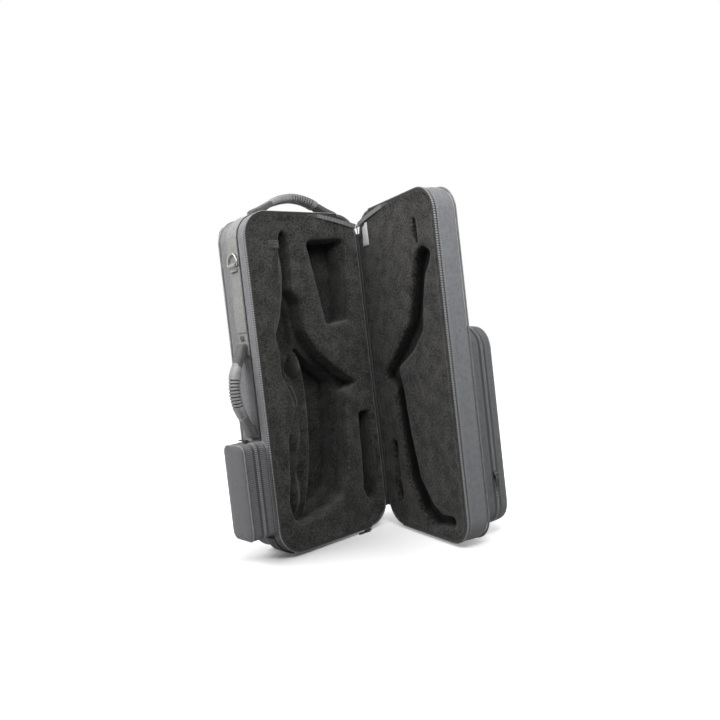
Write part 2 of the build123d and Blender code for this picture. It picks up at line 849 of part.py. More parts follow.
def moving_pieces():
    """Handles, D ring, sliders and pulls that move on the base half."""
    ends, strap, grip = top_handle()
    nodes["top_handle_ends"] = ends
    nodes["top_handle_strap"] = strap
    nodes["top_handle_grip"] = grip
    ends, strap, grip = side_handle()
    nodes["side_handle_ends"] = ends
    nodes["side_handle_strap"] = strap
    nodes["side_handle_grip"] = grip
    nodes["d_ring"] = d_ring()
    nodes["main_zip_slider"] = slider(main_slider_plane)
    nodes["main_zip_pull"] = pull(main_slider_plane)
    nodes["side_pocket_slider"] = slider(side_slider_plane)
    nodes["side_pocket_pull"] = pull(side_slider_plane)
    nodes["upper_back_slider"] = slider(upper_back_slider_plane)
    nodes["upper_back_pull"] = pull(upper_back_slider_plane)
    nodes["lower_back_slider"] = slider(lower_back_slider_plane)
    nodes["lower_back_pull"] = pull(lower_back_slider_plane)


def side_pocket_pieces():
    """The zipped pocket on the free side wall."""
    pocket(
        "side_pocket", side_pocket_plane, side_pocket_width, side_pocket_height,
        side_pocket_corner, side_tray_depth, side_pocket_depth, side_pocket_edge,
    )


def lid_pieces():
    """Everything on the lid half, first drawn closed."""
    mirrored = {
        "lid_shell": shell(lid_depth),
        "lid_lining": lid_lining(),
        "lid_zip_tape": zip_tape(),
        "lid_zip_coil": zip_coil(),
        "lid_zip_end": zip_end(),
        "lid_hinge_tape": hinge_tape(),
        "lid_piping": back_piping(lid_depth),
        "label": label(),
        "lid_feet": Compound([
            foot(foot_inset, lid_depth / 2), foot(case_width - foot_inset, lid_depth / 2)
        ]),
    }
    for name, piece in mirrored.items():
        nodes[name] = mirror(piece, about=Plane.XZ)
    pocket(
        "lid_pocket", lid_pocket_plane, lid_pocket_width, lid_pocket_height,
        lid_pocket_corner, lid_tray_depth, lid_pocket_depth, lid_pocket_edge,
    )
    nodes["lid_pocket_slider"] = slider(lid_slider_plane)
    nodes["lid_pocket_pull"] = pull(lid_slider_plane)
    for name in nodes:
        if name.startswith("lid_") or name == "label":
            nodes[name] = lid_turn * nodes[name]


lid_turn = Pos(hinge_x, 0, 0) * Rot(0, 0, lid_angle) * Pos(-hinge_x, 0, 0)
base_pieces()
moving_pieces()
side_pocket_pieces()
lid_pieces()

# The origin is on the floor, under the middle of the whole part's box
whole_box = Compound(list(nodes.values())).bounding_box()
to_origin = Pos(-whole_box.center().X, -whole_box.center().Y, -whole_box.min.Z)
os.makedirs("parts", exist_ok=True)
for name, piece in nodes.items():
    export_step(to_origin * piece, os.path.join("parts", name + ".step"))
print("nodes", len(nodes), "size", whole_box.size)
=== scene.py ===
import bpy
import math
from mathutils import Matrix, Vector


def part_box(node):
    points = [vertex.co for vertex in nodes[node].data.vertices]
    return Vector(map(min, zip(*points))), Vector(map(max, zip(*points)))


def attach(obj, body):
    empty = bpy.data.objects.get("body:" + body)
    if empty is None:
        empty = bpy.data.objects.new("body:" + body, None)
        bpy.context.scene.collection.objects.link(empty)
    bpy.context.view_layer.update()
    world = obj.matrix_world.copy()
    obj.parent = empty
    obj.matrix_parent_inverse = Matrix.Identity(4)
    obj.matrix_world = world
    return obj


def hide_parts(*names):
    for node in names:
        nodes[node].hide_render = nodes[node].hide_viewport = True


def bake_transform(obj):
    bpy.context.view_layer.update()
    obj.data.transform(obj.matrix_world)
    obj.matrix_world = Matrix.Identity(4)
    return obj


# An upright zipped alto saxophone case with its lid open. The dictionaries hold millimetres, measured
# from the lower corner of the base's free side: x towards the hinge, y up the case, z towards the lid.
mm = 0.001
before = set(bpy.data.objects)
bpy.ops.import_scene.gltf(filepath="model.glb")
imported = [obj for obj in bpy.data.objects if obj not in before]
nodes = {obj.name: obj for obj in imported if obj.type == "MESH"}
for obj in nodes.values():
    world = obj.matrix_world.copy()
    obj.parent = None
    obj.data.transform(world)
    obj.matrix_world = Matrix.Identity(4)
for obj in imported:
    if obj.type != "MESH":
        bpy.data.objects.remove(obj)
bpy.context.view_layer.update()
print("frame loaded:", len(nodes), "nodes")

case = {
    "width": 276, "height": 660, "baseDepth": 100, "cornerRadius": 50,
    "hingeX": 278, "lidAngle": 78, "rimGap": 1.5, "wall": 4,
}
outlineLow, outlineHigh = (0, 0), (case["width"], case["height"])
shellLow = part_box("base_shell")[0]
caseCorner = Vector((shellLow.x, shellLow.y - case["rimGap"] * mm, shellLow.z))

# Pieces are drawn lying on the table and then stood up on the case, or turned with the open lid
onCase = Matrix.Translation(caseCorner) @ Matrix.Rotation(math.radians(90), 4, "X")
hingeSpot = caseCorner + Vector((case["hingeX"] * mm, 0, 0))
lidTurn = (
    Matrix.Translation(hingeSpot)
    @ Matrix.Rotation(math.radians(case["lidAngle"]), 4, "Z")
    @ Matrix.Translation(-hingeSpot)
)
onLid = lidTurn @ onCase


# Helpers round the modelling operators

def restart():
    if bpy.context.mode != "OBJECT":
        bpy.ops.object.mode_set(mode="OBJECT")
    bpy.ops.object.select_all(action="DESELECT")


def work(obj):
    restart()
    obj.select_set(True)
    bpy.context.view_layer.objects.active = obj


def added(name):
    # the object that an operator has just made
    bpy.context.object.name = name
    return bpy.context.object


def choose(obj, kind, test=None):
    # selects vertices, edges or faces by their place and stays in edit mode
    work(obj)
    mesh = obj.data
    for group in (mesh.vertices, mesh.edges, mesh.polygons):
        group.foreach_set("select", [False] * len(group))
    if kind == "VERT":
        for v in mesh.vertices:
            v.select = test is None or bool(test(v.co))
    elif kind == "EDGE":
        for e in mesh.edges:
            a, b = (mesh.vertices[i].co for i in e.vertices)
            e.select = test is None or bool(test(a, b))
    else:
        for p in mesh.polygons:
            p.select = test is None or bool(test(p.center, p.normal))
    bpy.context.tool_settings.mesh_select_mode = (kind == "VERT", kind == "EDGE", kind == "FACE")
    bpy.ops.object.mode_set(mode="EDIT")


def place(obj, matrix):
    # stands the piece where it belongs and leaves its object at the origin
    work(obj)
    obj.matrix_world = matrix @ obj.matrix_world
    bpy.ops.object.transform_apply()


def spot(table, x=0, y=0, z=0):
    # a place on a table, in millimetres
    return table @ Matrix.Translation((x * mm, y * mm, z * mm))


def finish(obj, kind, **settings):
    work(obj)
    modifier = obj.modifiers.new(kind.lower(), kind)
    for key, value in settings.items():
        setattr(modifier, key, value)
    bpy.ops.object.modifier_apply(modifier=modifier.name)


def smooth(obj, angle=40):
    work(obj)
    bpy.ops.object.shade_smooth_by_angle(angle=math.radians(angle))


def faceOut(obj):
    choose(obj, "FACE")
    bpy.ops.mesh.normals_make_consistent(inside=False)
    restart()


def weld(obj, distance=0.02):
    choose(obj, "VERT")
    bpy.ops.mesh.remove_doubles(threshold=distance * mm)
    restart()


def joinPieces(pieces, name):
    restart()
    for piece in pieces:
        piece.select_set(True)
    bpy.context.view_layer.objects.active = pieces[0]
    if len(pieces) > 1:
        bpy.ops.object.join()
    pieces[0].name = name
    return pieces[0]


def bend(obj, path):
    # lays a piece that runs along x round a path, which isn't needed after that
    finish(obj, "CURVE", object=path, deform_axis="POS_X")
    work(path)
    bpy.ops.object.delete()


def subdivide(obj, cuts, test=None, kind="EDGE"):
    choose(obj, kind, test)
    bpy.ops.mesh.subdivide(number_cuts=cuts)
    restart()


def repeat(piece, count, x=0, y=0):
    # a straight row of one small piece
    finish(
        piece, "ARRAY", count=count, use_relative_offset=False, use_constant_offset=True,
        constant_offset_displace=(x * mm, y * mm, 0),
    )


def middleOf(low, high):
    return [(a + b) / 2 * mm for a, b in zip(low, high)]


def block(name, low, high, bevel=0.0, segments=2, cuts=0):
    restart()
    bpy.ops.mesh.primitive_cube_add(size=1, location=middleOf(low, high))
    obj = added(name)
    obj.scale = [(b - a) * mm for a, b in zip(low, high)]
    bpy.ops.object.transform_apply()
    if cuts:
        subdivide(obj, cuts, kind="FACE")
    if bevel:
        finish(obj, "BEVEL", width=bevel * mm, segments=segments, limit_method="ANGLE")
    return obj


def roundedPlate(name, low, high, radius, grow):
    low, high = [at - grow for at in low], [at + grow for at in high]
    restart()
    bpy.ops.mesh.primitive_plane_add(size=1, location=(*middleOf(low, high), 0))
    obj = added(name)
    obj.scale = ((high[0] - low[0]) * mm, (high[1] - low[1]) * mm, 1)
    bpy.ops.object.transform_apply()
    choose(obj, "VERT")
    bpy.ops.mesh.bevel(affect="VERTICES", offset=(radius + grow) * mm, segments=12)
    restart()
    # the long straight sides get more points, to follow what is done to them later
    subdivide(obj, 24, lambda a, b: (a - b).length > 40 * mm)
    return obj


def tub(name, low, high, radius, rings, wall=0.0):
    # a plate with round corners drawn out through rings of (height, how far it grows outwards);
    # with a wall it is hollow and open at the first ring
    z, grow = rings[0]
    firstZ = z
    obj = roundedPlate(name, low, high, radius, grow)
    wide, tall = high[0] - low[0], high[1] - low[1]
    place(obj, spot(Matrix(), z=z))
    choose(obj, "FACE")
    for newZ, newGrow in rings[1:]:
        bpy.ops.mesh.extrude_region_move(TRANSFORM_OT_translate={"value": (0, 0, (newZ - z) * mm)})
        bpy.ops.transform.resize(
            value=((wide + 2 * newGrow) / (wide + 2 * grow), (tall + 2 * newGrow) / (tall + 2 * grow), 1),
            center_override=(*middleOf(low, high), newZ * mm),
        )
        z, grow = newZ, newGrow
    restart()
    faceOut(obj)
    if wall:
        choose(obj, "FACE", lambda c, n: abs(c.z - firstZ * mm) < 0.01 * mm and abs(n.z) > 0.9)
        bpy.ops.mesh.delete(type="FACE")
        restart()
        finish(obj, "SOLIDIFY", thickness=wall * mm, offset=-1.0, use_even_offset=True)
    return obj


def trimmed(obj, trims):
    # cuts a flat outline off where each trim's arrow points and makes it a curve
    for at, arrow in trims:
        choose(obj, "VERT")
        bpy.ops.mesh.bisect(
            plane_co=(at[0] * mm, at[1] * mm, 0), plane_no=(arrow[0], arrow[1], 0), clear_outer=True
        )
        restart()
    return asCurve(obj)


def edgePath(low, high, radius, grow, trims=()):
    obj = roundedPlate("path", low, high, radius, grow)
    choose(obj, "FACE")
    bpy.ops.mesh.delete(type="ONLY_FACE")
    restart()
    return trimmed(obj, trims)


def casePath(grow, trims=()):
    return edgePath(outlineLow, outlineHigh, case["cornerRadius"], grow, trims)


def pathThrough(points):
    # a smooth open curve guided by a few points
    restart()
    bpy.ops.curve.primitive_nurbs_path_add(location=(0, 0, 0))
    obj = bpy.context.object
    spline = obj.data.splines[0]
    # a new path has five points, every guide here has five or more
    if len(points) > len(spline.points):
        spline.points.add(len(points) - len(spline.points))
    for guide, (x, y) in zip(spline.points, points):
        guide.co = (x * mm, y * mm, 0, 1)
    spline.order_u = 3
    spline.use_endpoint_u = True
    obj.data.dimensions = "2D"
    obj.data.resolution_u = 12
    return obj


def asCurve(obj):
    work(obj)
    bpy.ops.object.convert(target="CURVE")
    obj = bpy.context.object
    obj.data.dimensions = "2D"
    return obj


def copyOf(obj, name):
    restart()
    twin = obj.copy()
    twin.data = obj.data.copy()
    twin.name = name
    bpy.context.collection.objects.link(twin)
    return twin


def asMesh(name):
    # turns the path being worked on into a mesh
    bpy.ops.object.convert(target="MESH")
    obj = added(name)
    weld(obj)
    return obj


def ribbon(path, name, width, thickness, bevel):
    # a flat band that stands on the path
    work(path)
    path.data.extrude = width / 2 * mm
    obj = asMesh(name)
    finish(obj, "SOLIDIFY", thickness=thickness * mm, offset=0.0, use_even_offset=True)
    finish(obj, "BEVEL", width=bevel * mm, segments=2, limit_method="ANGLE")
    faceOut(obj)
    return obj


def strand(path, name, radius, resolution=3):
    # a round cord along the path
    work(path)
    path.data.dimensions = "3D"
    path.data.bevel_depth = radius * mm
    path.data.bevel_resolution = resolution
    path.data.use_fill_caps = True
    obj = asMesh(name)
    faceOut(obj)
    return obj


def alongPath(piece, path, pitch, name):
    # repeats one small piece all along the path and lays the row round it
    piece.name = name
    finish(
        piece, "ARRAY", fit_type="FIT_CURVE", curve=path, use_relative_offset=False,
        use_constant_offset=True, constant_offset_displace=(pitch * mm, 0, 0),
    )
    bend(piece, path)
    return piece


def dash(length, width, height, bevel=0.25):
    # one stitch or tooth, x along the row
    return block("dash", (0.1, -width / 2, -height / 2), (0.1 + length, width / 2, height / 2), bevel, 1)


def fasten(obj, body, slot, material, *replaced):
    # gives a piece its finish and hangs it on its body, unless it bends between two
    obj.data.materials.clear()
    obj.data.materials.append(finishes[material])
    if body:
        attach(obj, body)
    if replaced:
        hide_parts(*replaced)


def dress(obj, table, body, slot, material, *replaced, angle=40):
    # an angle of zero leaves the piece as sharp as it is
    if angle:
        smooth(obj, angle)
    place(obj, table)
    fasten(obj, body, slot, material, *replaced)


# Materials, all in object coordinates

def fill(tree, made, inputs):
    # gives a node's sockets their constants, or links them to other nodes
    for key, value in inputs.items():
        if isinstance(value, bpy.types.NodeSocket):
            tree.links.new(value, made.inputs[key])
        else:
            made.inputs[key].default_value = value


def newFinish(name, roughness, metallic=0.0, sheen=0.0, sheenRoughness=0.5, specular=0.5):
    material = bpy.data.materials.new(name)
    material.use_nodes = True
    tree = material.node_tree
    shader = tree.nodes["Principled BSDF"]
    fill(tree, shader, {
        "Roughness": roughness, "Metallic": metallic, "Sheen Weight": sheen,
        "Sheen Roughness": sheenRoughness, "Specular IOR Level": specular,
    })
    return material, tree, shader


def node(tree, kind, inputs, **settings):
    made = tree.nodes.new("ShaderNode" + kind)
    for key, value in settings.items():
        setattr(made, key, value)
    fill(tree, made, inputs)
    return made.outputs


def objectPlace(tree, turned):
    # the piece's own coordinates, turned back where it belongs to the lid
    inputs = {"Vector": node(tree, "TexCoord", {})["Object"]}
    if turned:
        inputs["Rotation"] = (0, 0, -math.radians(case["lidAngle"]))
    return node(tree, "Mapping", inputs)["Vector"]


def noise(tree, vector, size, detail=3.0, roughness=0.55):
    # size is the width of one patch in millimetres
    inputs = {"Vector": vector, "Scale": 1 / (size * mm), "Detail": detail, "Roughness": roughness}
    return node(tree, "TexNoise", inputs)["Fac"]


def threads(tree, vector, pitch):
    # over-and-under threads on every wall: sines along the three axes, multiplied in pairs
    turns = 2 * math.pi / (pitch * mm)
    scaled = node(tree, "VectorMath", {0: vector, "Scale": turns}, operation="SCALE")[0]
    waves = node(tree, "VectorMath", {0: scaled}, operation="SINE")[0]
    wave = node(tree, "SeparateXYZ", {0: waves})
    turned = node(tree, "CombineXYZ", {"X": wave["Y"], "Y": wave["Z"], "Z": wave["X"]})[0]
    return node(tree, "VectorMath", {0: waves, 1: turned}, operation="DOT_PRODUCT")["Value"]


def ribs(tree, vector, pitch, along):
    # even ribs across one direction
    reach = node(tree, "SeparateXYZ", {0: vector})[along]
    turns = 2 * math.pi / (pitch * mm)
    scaled = node(tree, "Math", {0: reach, 1: turns}, operation="MULTIPLY")[0]
    return node(tree, "Math", {0: scaled}, operation="SINE")[0]


def mixed(tree, factor, dark, light, low, high):
    # a colour between two, spread over part of the factor's range
    ramp = tree.nodes.new("ShaderNodeValToRGB")
    for end, position, colour in zip(ramp.color_ramp.elements, (low, high), (dark, light)):
        end.position = position
        end.color = (*colour, 1)
    tree.links.new(factor, ramp.inputs["Fac"])
    return ramp.outputs["Color"]


def addUp(tree, first, second, share):
    return node(tree, "Math", {0: second, 1: share, 2: first}, operation="MULTIPLY_ADD")[0]


def bump(tree, shader, height, distance):
    normal = node(tree, "Bump", {"Height": height, "Distance": distance * mm, "Strength": 1.0})
    tree.links.new(normal["Normal"], shader.inputs["Normal"])


def cloth(name, dark, light, pitch, turned=False, sheen=0.25, depth=0.12):
    # woven nylon: threads, cloudy shade and fine fuzz
    material, tree, shader = newFinish(name, 0.62, sheen=sheen, specular=0.45)
    vector = objectPlace(tree, turned)
    weave = threads(tree, vector, pitch)
    clouds = noise(tree, vector, 7.0)
    fuzz = noise(tree, vector, 0.9, 2.0)
    shade = addUp(tree, addUp(tree, clouds, fuzz, 0.5), weave, 0.06)
    tree.links.new(mixed(tree, shade, dark, light, 0.55, 0.95), shader.inputs["Base Color"])
    bump(tree, shader, addUp(tree, weave, fuzz, 1.2), depth)
    return material


def paintedRecessShade(tree, vector, turned, shallow, deep, darkest):
    # painted shade: one at the cut face, falling to darkest where the pile lies deep in a recess
    face = caseCorner.y
    if turned:
        face += (Matrix.Rotation(-math.radians(case["lidAngle"]), 3, "Z") @ hingeSpot - hingeSpot).y
    side = -1 if turned else 1
    return node(tree, "MapRange", {
        "Value": node(tree, "SeparateXYZ", {0: vector})["Y"], "From Min": face + side * shallow * mm,
        "From Max": face + side * deep * mm, "To Min": 1.0, "To Max": darkest,
    }, interpolation_type="SMOOTHSTEP")["Result"]


def velvet(name, dark, light, recess, spread, turned=False):
    # short plush: speckled tips, brushed patches, and painted shade deep in the recesses
    material, tree, shader = newFinish(name, 0.95, sheen=0.18, sheenRoughness=0.45, specular=0.15)
    vector = objectPlace(tree, turned)
    tips = noise(tree, vector, 4.2, 4.0, 0.85)
    brushed = noise(tree, vector, 30.0, 3.0)
    shade = addUp(tree, tips, brushed, 0.35)
    colour = mixed(tree, shade, dark, light, *spread)
    # the pile is darkened with depth: painted shade in the recesses
    depth = paintedRecessShade(tree, vector, turned, *recess)
    pile = node(tree, "VectorMath", {0: colour, "Scale": depth}, operation="SCALE")[0]
    tree.links.new(pile, shader.inputs["Base Color"])
    bump(tree, shader, tips, 1.6)
    return material


def strapping(name, dark, light, pitch, along, turned=False):
    # webbing: heavy ribs across the strap over a fine weave
    material, tree, shader = newFinish(name, 0.6, sheen=0.3, specular=0.45)
    vector = objectPlace(tree, turned)
    heavy = ribs(tree, vector, pitch, along)
    fine = threads(tree, vector, pitch * 0.6)
    patches = noise(tree, vector, 6.0)
    shade = addUp(tree, addUp(tree, patches, heavy, 0.05), fine, 0.04)
    tree.links.new(mixed(tree, shade, dark, light, 0.3, 0.75), shader.inputs["Base Color"])
    bump(tree, shader, addUp(tree, heavy, fine, 0.5), 0.18)
    return material


def moulded(name, dark, light, roughness, grain, depth, metallic=0.0):
    # rubber, plastic or metal with a fine grain and slight wear
    material, tree, shader = newFinish(name, roughness, metallic)
    vector = objectPlace(tree, False)
    fine = noise(tree, vector, grain, 4.0, 0.6)
    patches = noise(tree, vector, grain * 9)
    shade = addUp(tree, patches, fine, 0.5)
    rough = mixed(tree, patches, (roughness * 0.8,) * 3, (min(1, roughness * 1.25),) * 3, 0.3, 0.7)
    fill(tree, shader, {"Base Color": mixed(tree, shade, dark, light, 0.5, 1.0), "Roughness": rough})
    bump(tree, shader, fine, depth)
    return material


finishes = {
    "nylon": cloth("nylonCloth", (0.140, 0.138, 0.148), (0.205, 0.202, 0.213), 1.1),
    "lidNylon": cloth("lidNylonCloth", (0.135, 0.139, 0.149), (0.192, 0.198, 0.21), 1.1, True),
    # the pockets' cloths are darker copies of the nylon: painted shade, also on the pocket hinges and the back
    # roll
    "shadedPocketNylon": cloth("shadedPocketCloth", (0.055, 0.054, 0.061), (0.09, 0.088, 0.097), 1.1),
    "shadedLidPocketNylon": cloth("shadedLidPocketCloth", (0.066, 0.073, 0.076), (0.112, 0.122, 0.127), 1.1, True),
    # after the two colours: how deep in a recess the painted shade darkens the pile and by how much, how the
    # speckle is spread
    "plush": velvet("basePlush", (0.0115, 0.0122, 0.011), (0.077, 0.0805, 0.073), (7, 60, 0.45), (0.56, 0.81)),
    "lidPlush": velvet(
        "lidPlush", (0.004, 0.004, 0.004), (0.066, 0.064, 0.059), (3.6, 15, 0.08), (0.59, 0.77), True
    ),
    "tape": strapping("zipTape", (0.014, 0.014, 0.015), (0.036, 0.036, 0.038), 1.6, "Z"),
    "lidTape": strapping("lidZipTape", (0.010, 0.011, 0.012), (0.03, 0.031, 0.033), 1.6, "Z", True),
    # near-black cloth that stands in for shadow: painted shadow at the rim's gap, in the wall's groove and at
    # the hinge's crease
    "rimLip": cloth("paintedShadowCloth", (0.006, 0.006, 0.006), (0.014, 0.014, 0.014), 0.9, sheen=0.05),
    "hingeTape": strapping("hingeTapeWeave", (0.02, 0.02, 0.02), (0.05, 0.05, 0.05), 1.6, "Z"),
    "lidHingeTape": strapping("lidHingeTapeWeave", (0.02, 0.02, 0.02), (0.05, 0.05, 0.05), 1.6, "Z", True),
    "tabCloth": cloth("tabCloth", (0.02, 0.02, 0.02), (0.06, 0.062, 0.058), 0.8),
    "coil": moulded("zipTeeth", (0.24, 0.245, 0.25), (0.36, 0.365, 0.37), 0.42, 0.8, 0.03),
    "looseCoil": moulded("looseZipTeeth", (0.2, 0.2, 0.205), (0.3, 0.3, 0.305), 0.45, 0.8, 0.03),
    "thread": moulded("sewingThread", (0.26, 0.265, 0.27), (0.38, 0.385, 0.39), 0.7, 0.5, 0.05),
    "bandThread": moulded("bandThread", (0.13, 0.133, 0.137), (0.21, 0.213, 0.217), 0.7, 0.5, 0.05),
    "piping": cloth("pipingCloth", (0.21, 0.21, 0.215), (0.30, 0.30, 0.305), 0.7, sheen=0.35),
    "lidPiping": cloth("lidPipingCloth", (0.15, 0.15, 0.155), (0.23, 0.23, 0.235), 0.7, True),
    "webbing": strapping("webbingWeave", (0.17, 0.167, 0.16), (0.30, 0.296, 0.285), 2.2, "Z"),
    "sideWebbing": strapping("sideWebbingWeave", (0.038, 0.038, 0.037), (0.07, 0.069, 0.066), 2.2, "Z"),
    "topWebbing": strapping("topWebbingWeave", (0.05, 0.05, 0.05), (0.09, 0.09, 0.088), 2.2, "X"),
    "rubber": moulded("footRubber", (0.02, 0.02, 0.02), (0.045, 0.045, 0.045), 0.7, 1.2, 0.08),
    "grip": moulded("gripRubber", (0.17, 0.172, 0.17), (0.26, 0.262, 0.258), 0.5, 1.0, 0.07),
    "metal": moulded("darkSlider", (0.05, 0.05, 0.052), (0.11, 0.11, 0.115), 0.35, 1.5, 0.03, 1.0),
    "pull": moulded("pullTab", (0.014, 0.014, 0.015), (0.032, 0.032, 0.034), 0.45, 0.8, 0.05),
    "steel": moulded("ringSteel", (0.26, 0.258, 0.252), (0.40, 0.398, 0.39), 0.3, 1.5, 0.02, 1.0),
    "label": cloth("labelSatin", (0.55, 0.55, 0.56), (0.68, 0.68, 0.69), 0.5, True, sheen=0.1, depth=0.03),
}
print("finishes made:", len(finishes))


# Linings

pile = {
    "voxel": 2.75, "softening": 6, "recessSoftening": 14, "edgeKept": 12, "ruffleSize": 22, "ruffleDepth": 1.4,
    "hemMiddle": -5.8, "hemWide": 6.6, "hemDeep": 5.4, "hemAt": 3.3,
}


def lining(name, source, body, material, table, side, mounds):
    # the foam block's cut face, softened as plush over foam and turned over the rim
    obj = copyOf(nodes[source], name)
    weld(obj, 0.05)
    hem = ribbon(
        casePath(pile["hemMiddle"]), name + "Hem", pile["hemDeep"], pile["hemWide"], 0.2
    )
    place(hem, spot(table, z=side * pile["hemAt"]))
    faceOut(hem)
    shapes = [obj, hem]
    for x, y, z, wide, tall, deep, turn in mounds:
        restart()
        bpy.ops.mesh.primitive_ico_sphere_add(subdivisions=4, radius=mm, location=(0, 0, 0))
        mound = bpy.context.object
        turned = spot(table, x, y, z) @ Matrix.Rotation(math.radians(turn), 4, "Z")
        place(mound, turned @ Matrix.Diagonal((wide, tall, deep, 1)))
        faceOut(mound)
        shapes.append(mound)
    obj = joinPieces(shapes, name)
    finish(obj, "REMESH", mode="VOXEL", voxel_size=pile["voxel"] * mm)
    finish(obj, "SMOOTH", factor=0.5, iterations=pile["softening"])
    # the recesses are softened further, the rim keeps its edge
    inner = obj.vertex_groups.new(name="inner")
    back = table.inverted()
    inner.add([
        v.index for v in obj.data.vertices
        if all(
            pile["edgeKept"] * mm < at < (size - pile["edgeKept"]) * mm
            for at, size in zip((back @ v.co).xy, outlineHigh)
        )
    ], 1.0, "REPLACE")
    finish(obj, "SMOOTH", factor=0.5, iterations=pile["recessSoftening"], vertex_group="inner")
    ruffle = bpy.data.textures.new(name + "Ruffle", "CLOUDS")
    ruffle.noise_scale = pile["ruffleSize"] * mm
    finish(
        obj, "DISPLACE", texture=ruffle, texture_coords="LOCAL", mid_level=0.5,
        strength=pile["ruffleDepth"] * mm,
    )
    smooth(obj, 180)
    fasten(obj, body, "plush", material, source)
    print("lining made:", name, len(obj.data.polygons))


# soft ridges and bumps in the base's recesses: middle, radii across, up and deep, turn
baseMounds = [
    (99, 214, -60, 13, 172, 43, -5.8), (76, 226, -62, 30, 118, 36, -6), (78, 300, -46, 14, 34, 29, 20),
    (104, 360, -60, 8, 28, 34, -8), (78, 214, -50, 12, 44, 30, -15), (64, 112, -56, 18, 52, 30, 0),
    (57, 497, -30, 22, 100, 26, -12), (212, 262, -24, 17, 22, 21, 0),
]
lidMounds = [(227, 118, 21, 8.5, 58, 15, 0)]
lining("baseLining", "base_lining", "base", "plush", onCase, -1, baseMounds)
lining("lidLining", "lid_lining", "lid", "lidPlush", onLid, 1, lidMounds)


# Shells: rings of (distance from the rim's plane, how far the wall swells)
baseShellRings = [
    (-1.5, -0.4), (-2.2, 0), (-14, 0), (-24, 0.5), (-30.6, 0.3), (-31.6, -1.6), (-34.2, -1.8),
    (-35.0, 0.2), (-50, 0.8), (-72, 1.0), (-90, 0.6), (-96, 0.1), (-98.6, -1.2), (-100, -3.6),
]
lidShellRings = [
    (1.5, -0.4), (2.2, 0), (13.8, 0), (24, 0.7), (36, 0.8), (46, 0.2), (48.6, -1.2), (50, -3.6),
]
for half, table, rings, material in (
    ("base", onCase, baseShellRings, "nylon"), ("lid", onLid, lidShellRings, "lidNylon"),
):
    shell = tub(half + "Shell", outlineLow, outlineHigh, case["cornerRadius"], rings, case["wall"])
    dress(shell, table, half, "nylon", material, half + "_shell")
print("shells made")


# Zips round the rims and the pockets

def zipRow(names, body, table, low, high, radius, trims, style, clothFinish, replaced):
    # one side of a zip: tape, teeth along its edge and a row of overlock stitches
    tapeName, teethName, stitchName = names
    side = style["side"]

    def path(grow):
        return edgePath(low, high, radius, grow, trims)

    def between(reach):
        return spot(table, z=side * (reach[0] + reach[1]) / 2)

    tape = ribbon(
        path(style["thickness"] / 2), tapeName, style["tape"][1] - style["tape"][0], style["thickness"], 0.25
    )
    # a near-black band over the rim's face: painted shadow of the gap between the plush and the zip
    if style["lip"]:
        wide, thick, depth = style["lip"]
        lip = ribbon(path(-wide / 2), tapeName + "Lip", thick, wide, 0.2)
        dress(lip, spot(table, z=side * depth), body, "tape", "rimLip")
    dress(tape, between(style["tape"]), body, "tape", clothFinish, *replaced[0])
    teeth = alongPath(
        dash(style["pitch"] * 0.55, style["toothHeight"], style["teeth"][1] - style["teeth"][0], 0.3),
        path(style["toothHeight"] / 2), style["pitch"], teethName,
    )
    dress(teeth, between(style["teeth"]), body, "coil", "coil", *replaced[1], angle=0)
    stitches = alongPath(
        dash(1.7, 0.8, style["overlock"][1] - style["overlock"][0], 0.3), path(style["overlockOut"]),
        style["overlockPitch"], stitchName,
    )
    dress(stitches, between(style["overlock"]), body, "tape", style["thread"], angle=0)


# reaches are distances from the rim's plane; the three of the painted-shadow band over the rim are its width,
# thickness and depth
rimZip = {
    "side": -1, "thickness": 1.0, "tape": (0.2, 7.8), "teeth": (0.4, 3.9), "toothHeight": 2.1,
    "pitch": 4.4, "overlock": (7.4, 11.8), "lip": (4.6, 0.8, 1.2), "overlockOut": 0.6,
    "overlockPitch": 4.4, "thread": "thread",
}
rimEnd = [((226, 0), (1, 0))]
for half, table, side, material in (("base", onCase, -1, "tape"), ("lid", onLid, 1, "lidTape")):
    zipRow(
        [half + "Zip" + part for part in ("Tape", "Teeth", "Stitches")], half, table, outlineLow, outlineHigh,
        case["cornerRadius"], rimEnd, dict(rimZip, side=side), material,
        ((half + "_zip_tape",), (half + "_zip_coil",)),
    )
print("rim zips made")


# Piping on the back edges, and a near-black cord in the groove round the base's wall: painted shadow of the
# groove
# each: body, table, how far out, radius, roundness, depth, finish and what it replaces
seams = {
    "basePiping": ("base", onCase, 0.31, 2.0, 3, -100.31, "piping", ("base_piping",)),
    "lidPiping": ("lid", onLid, 0.31, 2.0, 3, 50.31, "lidPiping", ("lid_piping",)),
    # a near-black cord in the wall's groove: painted shadow of the groove
    "baseGrooveShadow": ("base", onCase, 0.3, 1.6, 2, -30.0, "rimLip", ()),
}
for name, (body, table, grow, radius, roundness, depth, material, source) in seams.items():
    bead = strand(casePath(grow), name, radius, roundness)
    dress(bead, spot(table, z=depth), body, "piping", material, *source, angle=60)
print("piping made")


# Webbing, D ring loop and sewn patches
# On a wall the table lies flat: x along it, y from the rim to the back, z away from the case
onTop = Matrix.Translation(caseCorner + Vector((0, 0, case["height"] * mm)))
onSide = Matrix.Translation(caseCorner) @ Matrix.Rotation(math.radians(-90), 4, "Y")
midWall = -case["baseDepth"] / 2
webbing = {
    "width": 37, "thickness": 2.5, "upperMiddle": 50, "lowerMiddle": 35, "hem": 2.6,
    "dash": (3.2, 0.8, 0.7), "pitch": 4.6, "dashOut": 0.15,
}


